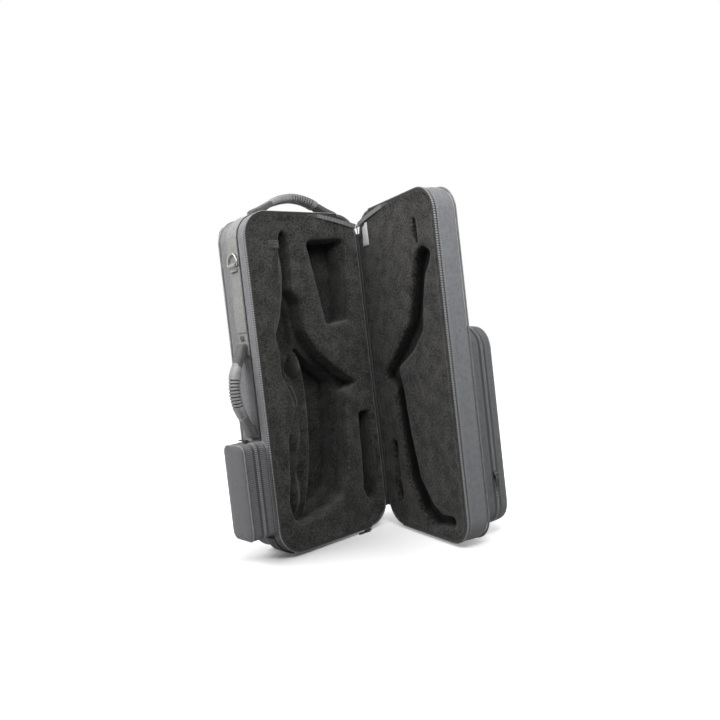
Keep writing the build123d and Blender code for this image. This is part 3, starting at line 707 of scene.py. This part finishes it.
def strapRound(name, middle, trims, source):
    # webbing glued round the case's outline, with a row of stitches along each edge
    band = ribbon(
        casePath(webbing["thickness"] / 2, trims), name, webbing["width"], webbing["thickness"], 0.7
    )
    dress(band, spot(onCase, z=-middle), "base", "webbing", "webbing", source)
    rows = []
    for side in (-1, 1):
        row = alongPath(
            dash(*webbing["dash"]), casePath(webbing["thickness"] + webbing["dashOut"], trims),
            webbing["pitch"], "row",
        )
        place(row, spot(onCase, z=-middle + side * (webbing["width"] / 2 - webbing["hem"])))
        rows.append(row)
    fasten(joinPieces(rows, name + "Stitches"), "base", "webbing", "thread")


strapRound(
    "upperWebbing", webbing["upperMiddle"], [((49.9, 0), (1, 0)), ((0, 415.2), (0, -1))], "upper_webbing"
)
strapRound("lowerWebbing", webbing["lowerMiddle"], [((52, 0), (1, 0)), ((0, 36), (0, 1))], "lower_webbing")

sewing = {"dash": (2.8, 0.8, 0.7), "pitch": 4.0, "margin": 3, "crossMargin": 8, "out": 0.1}


def sewnPatch(name, table, low, high, material, *replaced, height=0, thickness=2.6, crossed=True):
    # a square of webbing with stitches round its edge and across its corners
    patch = block(name, (*low, height), (*high, height + thickness), 0.8, 3, 2)
    inLow, inHigh = [at + sewing["margin"] for at in low], [at - sewing["margin"] for at in high]
    rows = [alongPath(dash(*sewing["dash"]), edgePath(inLow, inHigh, 1.0, 0), sewing["pitch"], "row")]
    if crossed:
        wide, tall = (b - a - sewing["crossMargin"] for a, b in zip(low, high))
        span, slope = math.hypot(wide, tall), math.atan2(tall, wide)
        centre = spot(Matrix(), (low[0] + high[0]) / 2, (low[1] + high[1]) / 2)
        for turn in (slope, -slope):
            row = dash(*sewing["dash"])
            repeat(row, int(span / sewing["pitch"]), sewing["pitch"])
            place(row, spot(centre @ Matrix.Rotation(turn, 4, "Z"), x=-span / 2))
            rows.append(row)
    stitches = joinPieces(rows, name + "Stitches")
    place(stitches, spot(table, z=height + thickness + sewing["out"]))
    dress(patch, table, "base", "webbing", material, *replaced)
    fasten(stitches, "base", "webbing", "thread")


sewnPatch("topAnchorLeft", onTop, (49.9, 31.5), (75.9, 68.5), "topWebbing", "top_handle_anchors")
sewnPatch("topAnchorRight", onTop, (226, 31.5), (252, 68.5), "topWebbing")
sewnPatch("sideAnchorUpper", onSide, (389.2, 31.5), (415.2, 68.5), "webbing", "side_handle_anchors")
sewnPatch("sideAnchorLower", onSide, (229, 31.5), (255, 68.5), "sideWebbing")
sewnPatch(
    "webbingPatch", onSide, (433, 32.2), (500, 67.8), "webbing", height=2.4, thickness=1.2, crossed=False
)

# the loop from the front: up the wall, round the ring and back down
ringLoop = {
    "guide": [
        (-3.4, 551.6), (-3.4, 556), (-3.0, 562), (-3.2, 566.4), (-6.2, 567), (-8.5, 564.4), (-8.2, 560.6),
        (-5.2, 557.6), (-4.9, 551.6),
    ], "width": 25, "thickness": 1.5,
}
loop = ribbon(pathThrough(ringLoop["guide"]), "dRingLoop", ringLoop["width"], ringLoop["thickness"], 0.3)
dress(loop, spot(onCase, z=midWall), "base", "webbing", "webbing", "d_ring_loop")
print("webbing made")


# Handles

def stationed(name, stations, corner=0.38):
    # a soft bar: a rounded section drawn out through stations of (how far along, width, thickness)
    restart()
    along, wide, thick = stations[0]
    bpy.ops.mesh.primitive_plane_add(
        size=mm, location=(along * mm, 0, 0), rotation=(0, math.radians(90), 0)
    )
    obj = added(name)
    bpy.ops.object.transform_apply()
    choose(obj, "VERT")
    bpy.ops.mesh.bevel(affect="VERTICES", offset=corner * mm, segments=4)
    bpy.ops.transform.resize(value=(1, thick, wide), center_override=(along * mm, 0, 0))
    for newAlong, newWide, newThick in stations[1:]:
        bpy.ops.mesh.extrude_region_move(TRANSFORM_OT_translate={"value": ((newAlong - along) * mm, 0, 0)})
        bpy.ops.transform.resize(
            value=(1, newThick / thick, newWide / wide), center_override=(newAlong * mm, 0, 0)
        )
        along, wide, thick = newAlong, newWide, newThick
    restart()
    faceOut(obj)
    return obj


def arcFrom(centre, radius, start, end):
    # part of a circle between two directions in degrees, running from the first to the second
    restart()
    bpy.ops.mesh.primitive_circle_add(
        vertices=240, radius=radius * mm, location=(centre[0] * mm, centre[1] * mm, 0)
    )
    bpy.ops.object.transform_apply()
    middle = math.radians((start + end) / 2)
    reach = radius * math.cos(math.radians(abs(end - start) / 2))
    at = (centre[0] + reach * math.cos(middle), centre[1] + reach * math.sin(middle))
    path = trimmed(bpy.context.object, [(at, (-math.cos(middle), -math.sin(middle)))])
    first = path.data.splines[0].points[0].co
    wanted = [
        (where + radius * part) * mm
        for where, part in zip(centre, (math.cos(math.radians(start)), math.sin(math.radians(start))))
    ]
    if math.dist(first.xy, wanted) > radius * 0.3 * mm:
        work(path)
        bpy.ops.object.mode_set(mode="EDIT")
        bpy.ops.curve.select_all(action="SELECT")
        bpy.ops.curve.switch_direction()
        bpy.ops.object.mode_set(mode="OBJECT")
    return path


grooves = {"count": 9, "pitch": 6.2, "coreWide": 0.935, "coreThick": 0.74}


def sized(stations, handle):
    return [(along, handle["width"] * wide, handle["thickness"] * thick) for along, wide, thick in stations]


def gripStations(length, ribsAt):
    # a moulded grip: cuffs at both ends and a row of grooves, as shares of the width and the thickness
    stations = [
        (0, 0.70, 0.42), (0.6, 0.86, 0.62), (3, 0.92, 0.72), (11, 0.95, 0.80), (12, 0.92, 0.77),
        (13, 0.97, 0.86), (30, 1, 0.96), (ribsAt - 2, 1, 1),
    ]
    for rib in range(grooves["count"]):
        at = ribsAt + rib * grooves["pitch"]
        stations += [(at, 1, 1), (at + 0.6, 0.92, 0.70), (at + 2.5, 0.92, 0.70), (at + 3.1, 1, 1)]
    end = ribsAt + grooves["count"] * grooves["pitch"]
    return stations + [
        (end + 4, 1, 1), (max(length - 24, end + 8), 1, 0.97), (length - 12, 0.97, 0.86),
        (length - 11, 0.92, 0.77), (length - 10, 0.95, 0.80), (length - 3, 0.92, 0.70),
        (length - 0.6, 0.84, 0.58), (length, 0.68, 0.4),
    ]


# wrap is the guide of a wrapped webbing end: how far from the handle's middle, how far off the wall
handles = {
    "top": {
        "centre": (151, 581.4), "radius": 118.5, "facing": 90, "halfTurn": 29.4, "body": "top_handle",
        "width": 29, "thickness": 18.5, "ribsAt": 54, "finish": "topWebbing",
        "foot": lambda along, rise: (151 - along, 660 + rise),
        "wrap": [(101, 8.0), (89, 10.5), (74.05, 17.1), (60, 24.5), (50, 30)],
    },
    "side": {
        "centre": (83.6, 322.1), "radius": 117, "facing": 180, "halfTurn": 29.6, "body": "side_handle",
        "width": 29, "thickness": 17.5, "ribsAt": 32, "finish": "sideWebbing",
        "foot": lambda along, rise: (-rise, 322.1 + along),
        "wrap": [(91, 7.5), (81, 9), (66.1, 15.35), (57, 19), (46, 23)],
    },
}
wrapStations = [
    (0, 29, 5), (0.8, 31, 8.5), (4, 32.5, 11.5), (16, 31, 13.5), (32, 29, 13.5), (44, 27.5, 12.5), (50, 26, 10),
]
wrapReach = 4
for name, handle in handles.items():
    half = handle["halfTurn"]
    length = handle["radius"] * math.radians(half * 2)
    grip = gripStations(length, handle["ribsAt"])
    # a near-black inner bar shows at the bottom of the grooves: painted shade in the grooves
    grooveShade = [
        (handle["ribsAt"] + grooves["pitch"] * rib, grooves["coreWide"], grooves["coreThick"])
        for rib in range(grooves["count"] + 1)
    ]
    for label, stations, material, source in (
        ("Grip", grip, "grip", (name + "_handle_grip",)), ("GripCore", grooveShade, "rubber", ()),
    ):
        bar = stationed(name + label, sized(stations, handle))
        bend(bar, arcFrom(handle["centre"], handle["radius"], handle["facing"] + half, handle["facing"] - half))
        dress(bar, spot(onCase, z=midWall), handle["body"], "grip", material, *source, angle=50)
    for side, label in ((1, "Start"), (-1, "End")):
        wrap = stationed(name + "Wrap" + label, wrapStations, 0.3)
        subdivide(wrap, 4, lambda a, b: abs(a.x - b.x) > 3 * mm)
        bend(wrap, pathThrough([handle["foot"](side * along, rise) for along, rise in handle["wrap"]]))
        dress(
            wrap, spot(onCase, z=midWall), None, "webbing", handle["finish"],
            *((name + "_handle_ends", name + "_handle_strap") if side > 0 else ()), angle=50,
        )
        # the points a short reach either side of the wrap's turning line are worked out here, but nothing uses
        # them
        hinge, rise = handle["wrap"][2]
        for near in (hinge + wrapReach, hinge - wrapReach):
            x, z = handle["foot"](side * near, rise)
        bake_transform(wrap)
print("handles made")


# Hinge cover, hinge tapes, loose zip ends, tab and label
# The plush runs on over the hinge: a strip from the base's lining to the lid's, bent at the hinge line
hingeCover = {
    "low": 34, "high": 619, "reach": 5.2, "thickness": 0.7, "lift": 0.6, "folds": 6, "foldStep": 0.5,
    "blend": -1.5,
}
cover = block(
    "hingeCover",
    (case["hingeX"] - hingeCover["reach"], hingeCover["low"], -hingeCover["lift"] - hingeCover["thickness"]),
    (case["hingeX"] + hingeCover["reach"], hingeCover["high"], -hingeCover["lift"]),
)
subdivide(cover, 55, lambda a, b: abs(a.x - b.x) > 4 * mm)
foldTurn = math.radians((180 - case["lidAngle"]) / hingeCover["folds"])
for fold in range(hingeCover["folds"]):
    # with no window the turn runs the other way, so this one lifts the lid's side towards the viewer
    offset = (fold - (hingeCover["folds"] - 1) / 2) * hingeCover["foldStep"]
    choose(cover, "VERT", lambda co: co.x > (case["hingeX"] + offset) * mm or co.z > 0)
    bpy.ops.transform.rotate(value=foldTurn, orient_axis="Y", center_override=(case["hingeX"] * mm, 0, 0))
    restart()
# finished near-black: painted shade of the crease at the hinge
dress(cover, onCase, None, "plush", "rimLip", angle=60)
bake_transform(cover)

hingeTape = {
    "low": 62, "high": 618, "outside": 276.4, "thickness": 0.8, "from": 1.8, "to": 14,
    "dash": (2.6, 0.7, 0.6), "pitch": 4, "margin": 4, "dashOut": 0.45, "dashAt": 11.5,
}
for half, table, side, material in (("base", onCase, -1, "hingeTape"), ("lid", onLid, 1, "lidHingeTape")):
    name = half + "HingeTape"
    depths = sorted((side * hingeTape["from"], side * hingeTape["to"]))
    tape = block(
        name, (hingeTape["outside"] - hingeTape["thickness"] / 2, hingeTape["low"], depths[0]),
        (hingeTape["outside"] + hingeTape["thickness"] / 2, hingeTape["high"], depths[1]), 0.3, 2,
    )
    row = dash(*hingeTape["dash"])
    long = hingeTape["high"] - hingeTape["low"] - 2 * hingeTape["margin"]
    repeat(row, int(long / hingeTape["pitch"]), hingeTape["pitch"])
    place(row, spot(
        Matrix(), hingeTape["outside"] + hingeTape["dashOut"], hingeTape["low"] + hingeTape["margin"],
        side * hingeTape["dashAt"],
    ) @ Matrix.Rotation(math.radians(90), 4, "Z"))
    row.name = name + "Stitches"
    dress(tape, table, half, "tape", material, half + "_hinge_tape", angle=0)
    dress(row, table, half, "tape", "thread", angle=0)

# taper: how far from the loose end, how wide; toothLong and toothHigh: from where to where
zipEnd = {
    "width": 10.4, "thickness": 0.5, "height": 0.65, "pitch": 3.8, "taper": ((10, 0.5), (20, 0.75), (32, 0.85)),
    "short": 1.5, "margin": 1.4, "toothLong": (0.2, 1.9), "toothHigh": (-0.7, 0.7), "toothOut": 0.1,
}
for half, table, side, material, guide in (
    ("base", onCase, -1, "tape",
     [(150, 656.2), (175, 654.8), (207, 650), (241, 642.5), (263, 637.5), (276, 635)]),
    ("lid", onLid, 1, "lidTape",
     [(150, 656.4), (175, 655.2), (207, 651.2), (241, 645.5), (263, 640.5), (276, 637)]),
):
    length = sum(math.dist(a, b) for a, b in zip(guide, guide[1:])) - zipEnd["short"]
    wide, thick = zipEnd["width"] / 2, zipEnd["thickness"] / 2
    tape = block(half + "ZipEnd", (0, -wide, -thick), (length, wide, thick), 0.2, 1)
    subdivide(tape, 40, lambda a, b: abs(a.x - b.x) > 20 * mm)
    for reach, share in zipEnd["taper"]:
        choose(tape, "VERT", lambda co: co.x < reach * mm)
        bpy.ops.transform.resize(value=(1, share, 1), center_override=(0, 0, 0))
    restart()
    bend(tape, pathThrough(guide))
    dress(tape, spot(table, z=side * zipEnd["height"]), half, "tape", material, half + "_zip_end")
    inner = wide - zipEnd["margin"]
    (near, far), (under, over) = zipEnd["toothLong"], zipEnd["toothHigh"]
    teeth = alongPath(
        block("dash", (near, -inner, under), (far, inner, over), 0.3, 1), pathThrough(guide[1:]),
        zipEnd["pitch"], half + "ZipEndTeeth",
    )
    above = spot(table, z=side * (zipEnd["height"] + zipEnd["toothOut"]))
    dress(teeth, above, half, "coil", "looseCoil", angle=0)

# a small sewn tab with three raised bars
plushTab = {
    "low": (49.5, 589.3, -3.2), "high": (73.5, 605.3, -1.6), "bars": (590.8, 596.0, 601.4),
    "barLow": (51, 0, -2.0), "barHigh": (72.5, 2.6, -0.7),
}
bars = [
    block("bar", *((x, low + y, z) for x, y, z in (plushTab["barLow"], plushTab["barHigh"])), 0.6, 2)
    for low in plushTab["bars"]
]
tab = joinPieces([block("plushTab", plushTab["low"], plushTab["high"], 0.7, 3, 1)] + bars, "plushTab")
dress(tab, onCase, "base", "plush", "tabCloth", "plush_tab")

# a plain satin label, sewn along both ends
satin = {
    "low": (240, 590), "high": (268, 637), "height": 2.45, "thickness": 0.5, "dash": (2.0, 0.5, 0.5),
    "dashes": 8, "pitch": 3, "hem": 2.5, "margin": 1.5, "sunk": 0.1,
}
label = block(
    "label", (*satin["low"], satin["height"]), (*satin["high"], satin["height"] + satin["thickness"]), 0.2, 2
)
subdivide(label, 3)
dress(label, onLid, "lid", "label", "label", "label")
rows = []
for height in (satin["low"][1] + satin["hem"], satin["high"][1] - satin["hem"]):
    row = dash(*satin["dash"])
    repeat(row, satin["dashes"], satin["pitch"])
    place(row, spot(onLid, satin["low"][0] + satin["margin"], height, satin["height"] - satin["sunk"]))
    rows.append(row)
fasten(joinPieces(rows, "labelStitches"), "lid", "label", "label")
print("hinge, zip ends, tab and label made")


# Pockets
# how far the tapes, the teeth and the overlock of a pocket's zip lie from its middle
pocketZip = dict(rimZip, side=1, thickness=0.9, lip=None, overlockPitch=3.8, thread="bandThread")
zipReach = {"tape": (0.5, 8.3), "teeth": 0.25, "band": 7.6}


def softPocket(name, source, bodies, table, low, high, radius, trims, pocket, materials):
    # a bag in two halves joined by a zip: tray, cover, piping, tapes, teeth and stitches
    trayBody, coverBody = bodies
    bagCloth, tapeCloth, pipingCloth = materials
    tray = tub(name + "Tray", low, high, radius, pocket["tray"], pocket["wall"])
    dress(tray, table, trayBody, "nylon", bagCloth, source + "_tray")
    cover = tub(name + "Cover", low, high, radius, pocket["cover"], pocket["wall"])
    dress(cover, table, coverBody, "nylon", bagCloth, source + "_cover")
    for suffix, body, (height, grow, thick) in (
        ("Edge", coverBody, pocket["edge"]), ("Base", trayBody, pocket["base"]),
    ):
        bead = strand(edgePath(low, high, radius, grow), name + suffix + "Piping", thick)
        dress(bead, spot(table, z=height), body, "piping", pipingCloth, angle=60)

    def reach(side, near, far):
        return tuple(sorted((pocket["zipMiddle"] + side * near, pocket["zipMiddle"] + side * far)))

    for suffix, body, side, band, replaced in (
        ("Tray", trayBody, -1, pocket["band"][0], ((source + "_tray_tape",), (source + "_coil",))),
        ("Cover", coverBody, 1, pocket["band"][1], ((source + "_cover_tape",), ())),
    ):
        style = dict(
            pocketZip, toothHeight=pocket["tooth"], pitch=pocket["pitch"], overlockOut=pocket["bandOut"],
            tape=reach(side, *zipReach["tape"]), teeth=reach(side, zipReach["teeth"], pocket["teethReach"]),
            overlock=reach(side, zipReach["band"], band),
        )
        zipRow(
            [name + suffix + part for part in ("Tape", "Teeth", "Stitches")], body, table, low, high,
            radius, trims, style, tapeCloth, replaced,
        )


sidePocket = {
    "tray": [(25, 0), (24.4, 0.2), (14, 0.6), (2, 0.3), (0.3, -0.2)],
    "cover": [
        (25.6, 0), (26.2, 0.2), (36, 0.5), (46, 0.2), (50.2, 0), (51.6, -0.9), (52.6, -4), (53.6, -11),
        (54.2, -20),
    ],
    "wall": 1.6, "edge": (50.4, 0.4, 1.35), "base": (1.4, 0.6, 1.2), "zipMiddle": 25.3, "tooth": 2.0,
    "pitch": 3.6, "teethReach": 3.0, "band": (20, 22), "bandOut": 0.5,
}
softPocket(
    "sidePocket", "side_pocket", ("base", "side_pocket_cover"), onSide, (42, 14), (222, 86), 14,
    [((0, 72), (0, 1))], sidePocket, ("shadedPocketNylon", "tape", "piping"),
)
lidPocket = {
    "tray": [(95, 0), (94.2, 0.3), (82, 0.9), (62, 0.8), (51, 0)],
    "cover": [
        (95.6, 0), (96.4, 0.3), (106, 1.0), (114, 0.4), (119, -1.6), (122.5, -5), (125, -10), (127, -20),
        (128.5, -40),
    ],
    "wall": 2.0, "edge": (117.8, -1.3, 0.9), "base": (52.6, 0.8, 1.3), "zipMiddle": 95.3, "tooth": 2.0,
    "pitch": 3.8, "teethReach": 2.7, "band": (12, 12), "bandOut": 1.0,
}
softPocket(
    "lidPocket", "lid_pocket", ("lid", "lid_pocket_cover"), onLid, (26, 15), (256, 396), 42,
    [((214, 0), (1, 0))], lidPocket, ("shadedLidPocketNylon", "lidTape", "lidPiping"),
)


def flapHinge(name, table, low, high, material, source):
    # cloth that joins a pocket's two halves where its zip doesn't run
    strip = block(name, low, high, 0.3, 1)
    subdivide(strip, 9, lambda a, b: abs(a.z - b.z) > 8 * mm)
    dress(strip, table, None, "tape", material, source)
    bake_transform(strip)


flapHinge(
    "sidePocketHinge", onSide, (56, 86.2, 17), (208, 87.2, 33.6),
    "shadedPocketNylon", "side_pocket_hinge_tape",
)
flapHinge(
    "lidPocketHinge", onLid, (256.3, 57, 87), (257.3, 354, 103.6),
    "shadedLidPocketNylon", "lid_pocket_hinge_tape",
)
print("pockets made")


# Back pocket and padded roll

def puff(obj, voxel, pressure, cap):
    # blows the pad up a little as cloth over filling; no point moves further than the cap
    finish(obj, "REMESH", mode="VOXEL", voxel_size=voxel * mm)
    before = [v.co.copy() for v in obj.data.vertices]
    work(obj)
    swell = obj.modifiers.new("cloth", "CLOTH")
    swell.settings.use_pressure = True
    swell.settings.uniform_pressure_force = pressure
    swell.settings.effector_weights.gravity = 0
    swell.settings.quality = 5
    swell.point_cache.frame_start = 1
    swell.point_cache.frame_end = 20
    for step in range(1, 21):
        bpy.context.scene.frame_set(step)
    bpy.ops.object.modifier_apply(modifier=swell.name)
    bpy.context.scene.frame_set(1)
    for v, old in zip(obj.data.vertices, before):
        move = v.co - old
        if move.length > cap * mm:
            v.co = old + move * (cap * mm / move.length)


# rings: how far behind the rim's plane, how far outwards; the bead is the piping round the foot
backRoll = {
    "low": (4.5, 575.5), "high": (271.5, 648.5), "corner": 22, "beadOut": 1.4, "beadAt": -102.2,
    "rings": [(-100.2, 0), (-103, 0.8), (-110, 0.4), (-115, -3), (-118.5, -8), (-120.5, -15), (-121, -24)],
    "voxel": 4.0, "pressure": 3.0, "cap": 3.2,
}
backPocket = {
    "low": (5, 40), "high": (271, 572), "corner": 12, "beadOut": -0.2, "beadAt": -107.6,
    "rings": [(-100.1, 0), (-101, 0.4), (-106.5, 0.2), (-108.6, -1.6), (-109.2, -6), (-110, -18), (-111, -50)],
}


def backBead(name, pad):
    bead = strand(edgePath(pad["low"], pad["high"], pad["corner"], pad["beadOut"]), name, 1.3)
    dress(bead, spot(onCase, z=pad["beadAt"]), "base", "piping", "piping", angle=60)


roll = tub("backRoll", backRoll["low"], backRoll["high"], backRoll["corner"], backRoll["rings"])
puff(roll, backRoll["voxel"], backRoll["pressure"], backRoll["cap"])
finish(roll, "SUBSURF", levels=1, render_levels=1)
dress(roll, onCase, "base", "nylon", "shadedPocketNylon", "back_roll", angle=180)
backBead("backRollPiping", backRoll)

pocket = tub("backPocket", backPocket["low"], backPocket["high"], backPocket["corner"], backPocket["rings"])
dress(pocket, onCase, "base", "nylon", "nylon", "back_pocket")
backBead("backPocketPiping", backPocket)

backZip = {
    "x": 10.5, "low": 60, "high": 562, "width": 8, "pitch": 2.4, "surface": -109.3, "sunk": 0.7,
    "proud": 0.3, "toothLow": (-1.7, 0, -0.7), "toothHigh": (1.7, 1.5, 0.7), "firstTooth": 0.5, "teethAt": -1.2,
}
tape = block(
    "backZipTape", (backZip["x"] - backZip["width"] / 2, backZip["low"], backZip["surface"] - backZip["sunk"]),
    (backZip["x"] + backZip["width"] / 2, backZip["high"], backZip["surface"] + backZip["proud"]), 0.3, 2,
)
dress(tape, onCase, "base", "tape", "tape", "back_pocket_zip")
teeth = block("backZipTeeth", backZip["toothLow"], backZip["toothHigh"], 0.3, 1)
repeat(teeth, int((backZip["high"] - backZip["low"]) / backZip["pitch"]), y=backZip["pitch"])
first = spot(
    onCase, backZip["x"], backZip["low"] + backZip["firstTooth"], backZip["surface"] + backZip["teethAt"]
)
dress(teeth, first, "base", "coil", "coil", angle=0)
print("back made")


# CAD nodes that stay as they are and only get a finish
keptNodes = {
    "rubber": ("base_feet", "lid_feet", "corner_skid"),
    "hingeTape": ("hinge_cord",),
    "metal": (
        "webbing_stud", "main_zip_slider", "side_pocket_slider", "upper_back_slider", "lower_back_slider",
        "lid_pocket_slider",
    ),
    "steel": ("d_ring", "upper_back_pull", "lower_back_pull"),
    "pull": ("main_zip_pull", "side_pocket_pull", "lid_pocket_pull"),
}
for material, names in keptNodes.items():
    for name in names:
        for held in nodes[name].material_slots:
            held.material = finishes[material]
print("kept nodes finished")


# Floor, lights and camera

def whiteWhereSeen(tree):
    # one where the camera, a reflection or a clear piece looks straight at it
    rays = node(tree, "LightPath", {})
    seen = rays["Is Camera Ray"]
    for kind in ("Is Glossy Ray", "Is Transmission Ray"):
        seen = node(tree, "Math", {0: seen, 1: rays[kind]}, operation="MAXIMUM")[0]
    return seen


# a lamp: where it stands, what it points at, its power and its size
studio = {
    "floorSize": 14.0, "floorSeen": 0.85, "floorBounce": 0.07, "nearGlow": 0.02, "farGlow": 1.0,
    "darkest": (-0.14, -0.04, 0), "clearNear": 0.10, "clearFar": 0.52, "roomDim": 0.09, "roomBright": 0.50,
    "brightSide": (-0.35, -0.85, 0.40), "brightFrom": 0.1, "brightTo": 1.0,
    "lamps": {
        "leftLamp": ((-1.05, 0.55, 1.25), (0.0, 0.1, 0.5), 20, 0.9),
        "upperLamp": ((-0.9, -0.1, 1.9), (0.0, 0.0, 0.5), 7, 1.2),
        "frontLamp": ((-0.25, -0.85, 1.12), (0.1, -0.2, 0.6), 11, 0.55),
    },
}
restart()
bpy.ops.mesh.primitive_plane_add(size=studio["floorSize"], location=(0, 0, 0))
floor = added("studioFloor")
floorPaint, tree, shader = newFinish("paperFloor", 0.9, specular=0.0)
seen = whiteWhereSeen(tree)
paper = node(tree, "MapRange", {
    "Value": seen, "To Min": studio["floorBounce"], "To Max": studio["floorSeen"],
})["Result"]
# the paper clears to white away from the case's shadow
reach = node(tree, "VectorMath", {
    0: node(tree, "TexCoord", {})["Object"], 1: studio["darkest"],
}, operation="DISTANCE")["Value"]
clear = node(tree, "MapRange", {
    "Value": reach, "From Min": studio["clearNear"], "From Max": studio["clearFar"],
    "To Min": studio["nearGlow"], "To Max": studio["farGlow"],
}, interpolation_type="SMOOTHSTEP")["Result"]
glow = node(tree, "Math", {0: seen, 1: clear}, operation="MULTIPLY")[0]
fill(tree, shader, {"Base Color": paper, "Emission Color": (1, 1, 1, 1), "Emission Strength": glow})
floor.data.materials.append(floorPaint)

world = bpy.data.worlds.new("studioRoom")
bpy.context.scene.world = world
world.use_nodes = True
tree = world.node_tree
# the room is bright behind the viewer's shoulder and dim elsewhere
facing = node(tree, "VectorMath", {
    0: node(tree, "TexCoord", {})["Generated"], 1: Vector(studio["brightSide"]).normalized(),
}, operation="DOT_PRODUCT")["Value"]
lit = node(tree, "MapRange", {
    "Value": facing, "From Min": studio["brightFrom"], "From Max": studio["brightTo"],
    "To Min": studio["roomDim"], "To Max": studio["roomBright"],
}, interpolation_type="SMOOTHSTEP")["Result"]
level = node(tree, "Mix", {"Factor": whiteWhereSeen(tree), "A": lit, "B": 1.0}, data_type="FLOAT")
fill(tree, tree.nodes["Background"], {"Color": (1, 1, 1, 1), "Strength": level["Result"]})

for name, (at, towards, power, size) in studio["lamps"].items():
    restart()
    bpy.ops.object.light_add(type="AREA", location=at)
    lamp = added(name)
    lamp.data.energy = power
    lamp.data.size = size
    aim = Vector(towards) - Vector(at)
    lamp.rotation_euler = aim.to_track_quat("-Z", "Y").to_euler()

view = {"yaw": 40.45, "pitch": -1.93, "roll": -6.50, "at": (-853.821, -1008.807, 408.5), "lens": 33.885}
yaw, pitch, roll = (math.radians(view[key]) for key in ("yaw", "pitch", "roll"))
forward = Vector((math.sin(yaw) * math.cos(pitch), math.cos(yaw) * math.cos(pitch), math.sin(pitch)))
level = forward.cross(Vector((0, 0, 1))).normalized()
upright = level.cross(forward)
rightward = math.cos(roll) * level + math.sin(roll) * upright
upward = -math.sin(roll) * level + math.cos(roll) * upright
restart()
bpy.ops.object.camera_add(location=Vector(view["at"]) * mm)
camera = added("photoCamera")
camera.rotation_euler = Matrix((rightward, upward, -forward)).transposed().to_euler()
camera.data.lens = view["lens"]
camera.data.sensor_width = 36
camera.data.dof.use_dof = False
bpy.context.scene.camera = camera
bpy.context.scene.view_settings.view_transform = "Standard"
print("studio made")
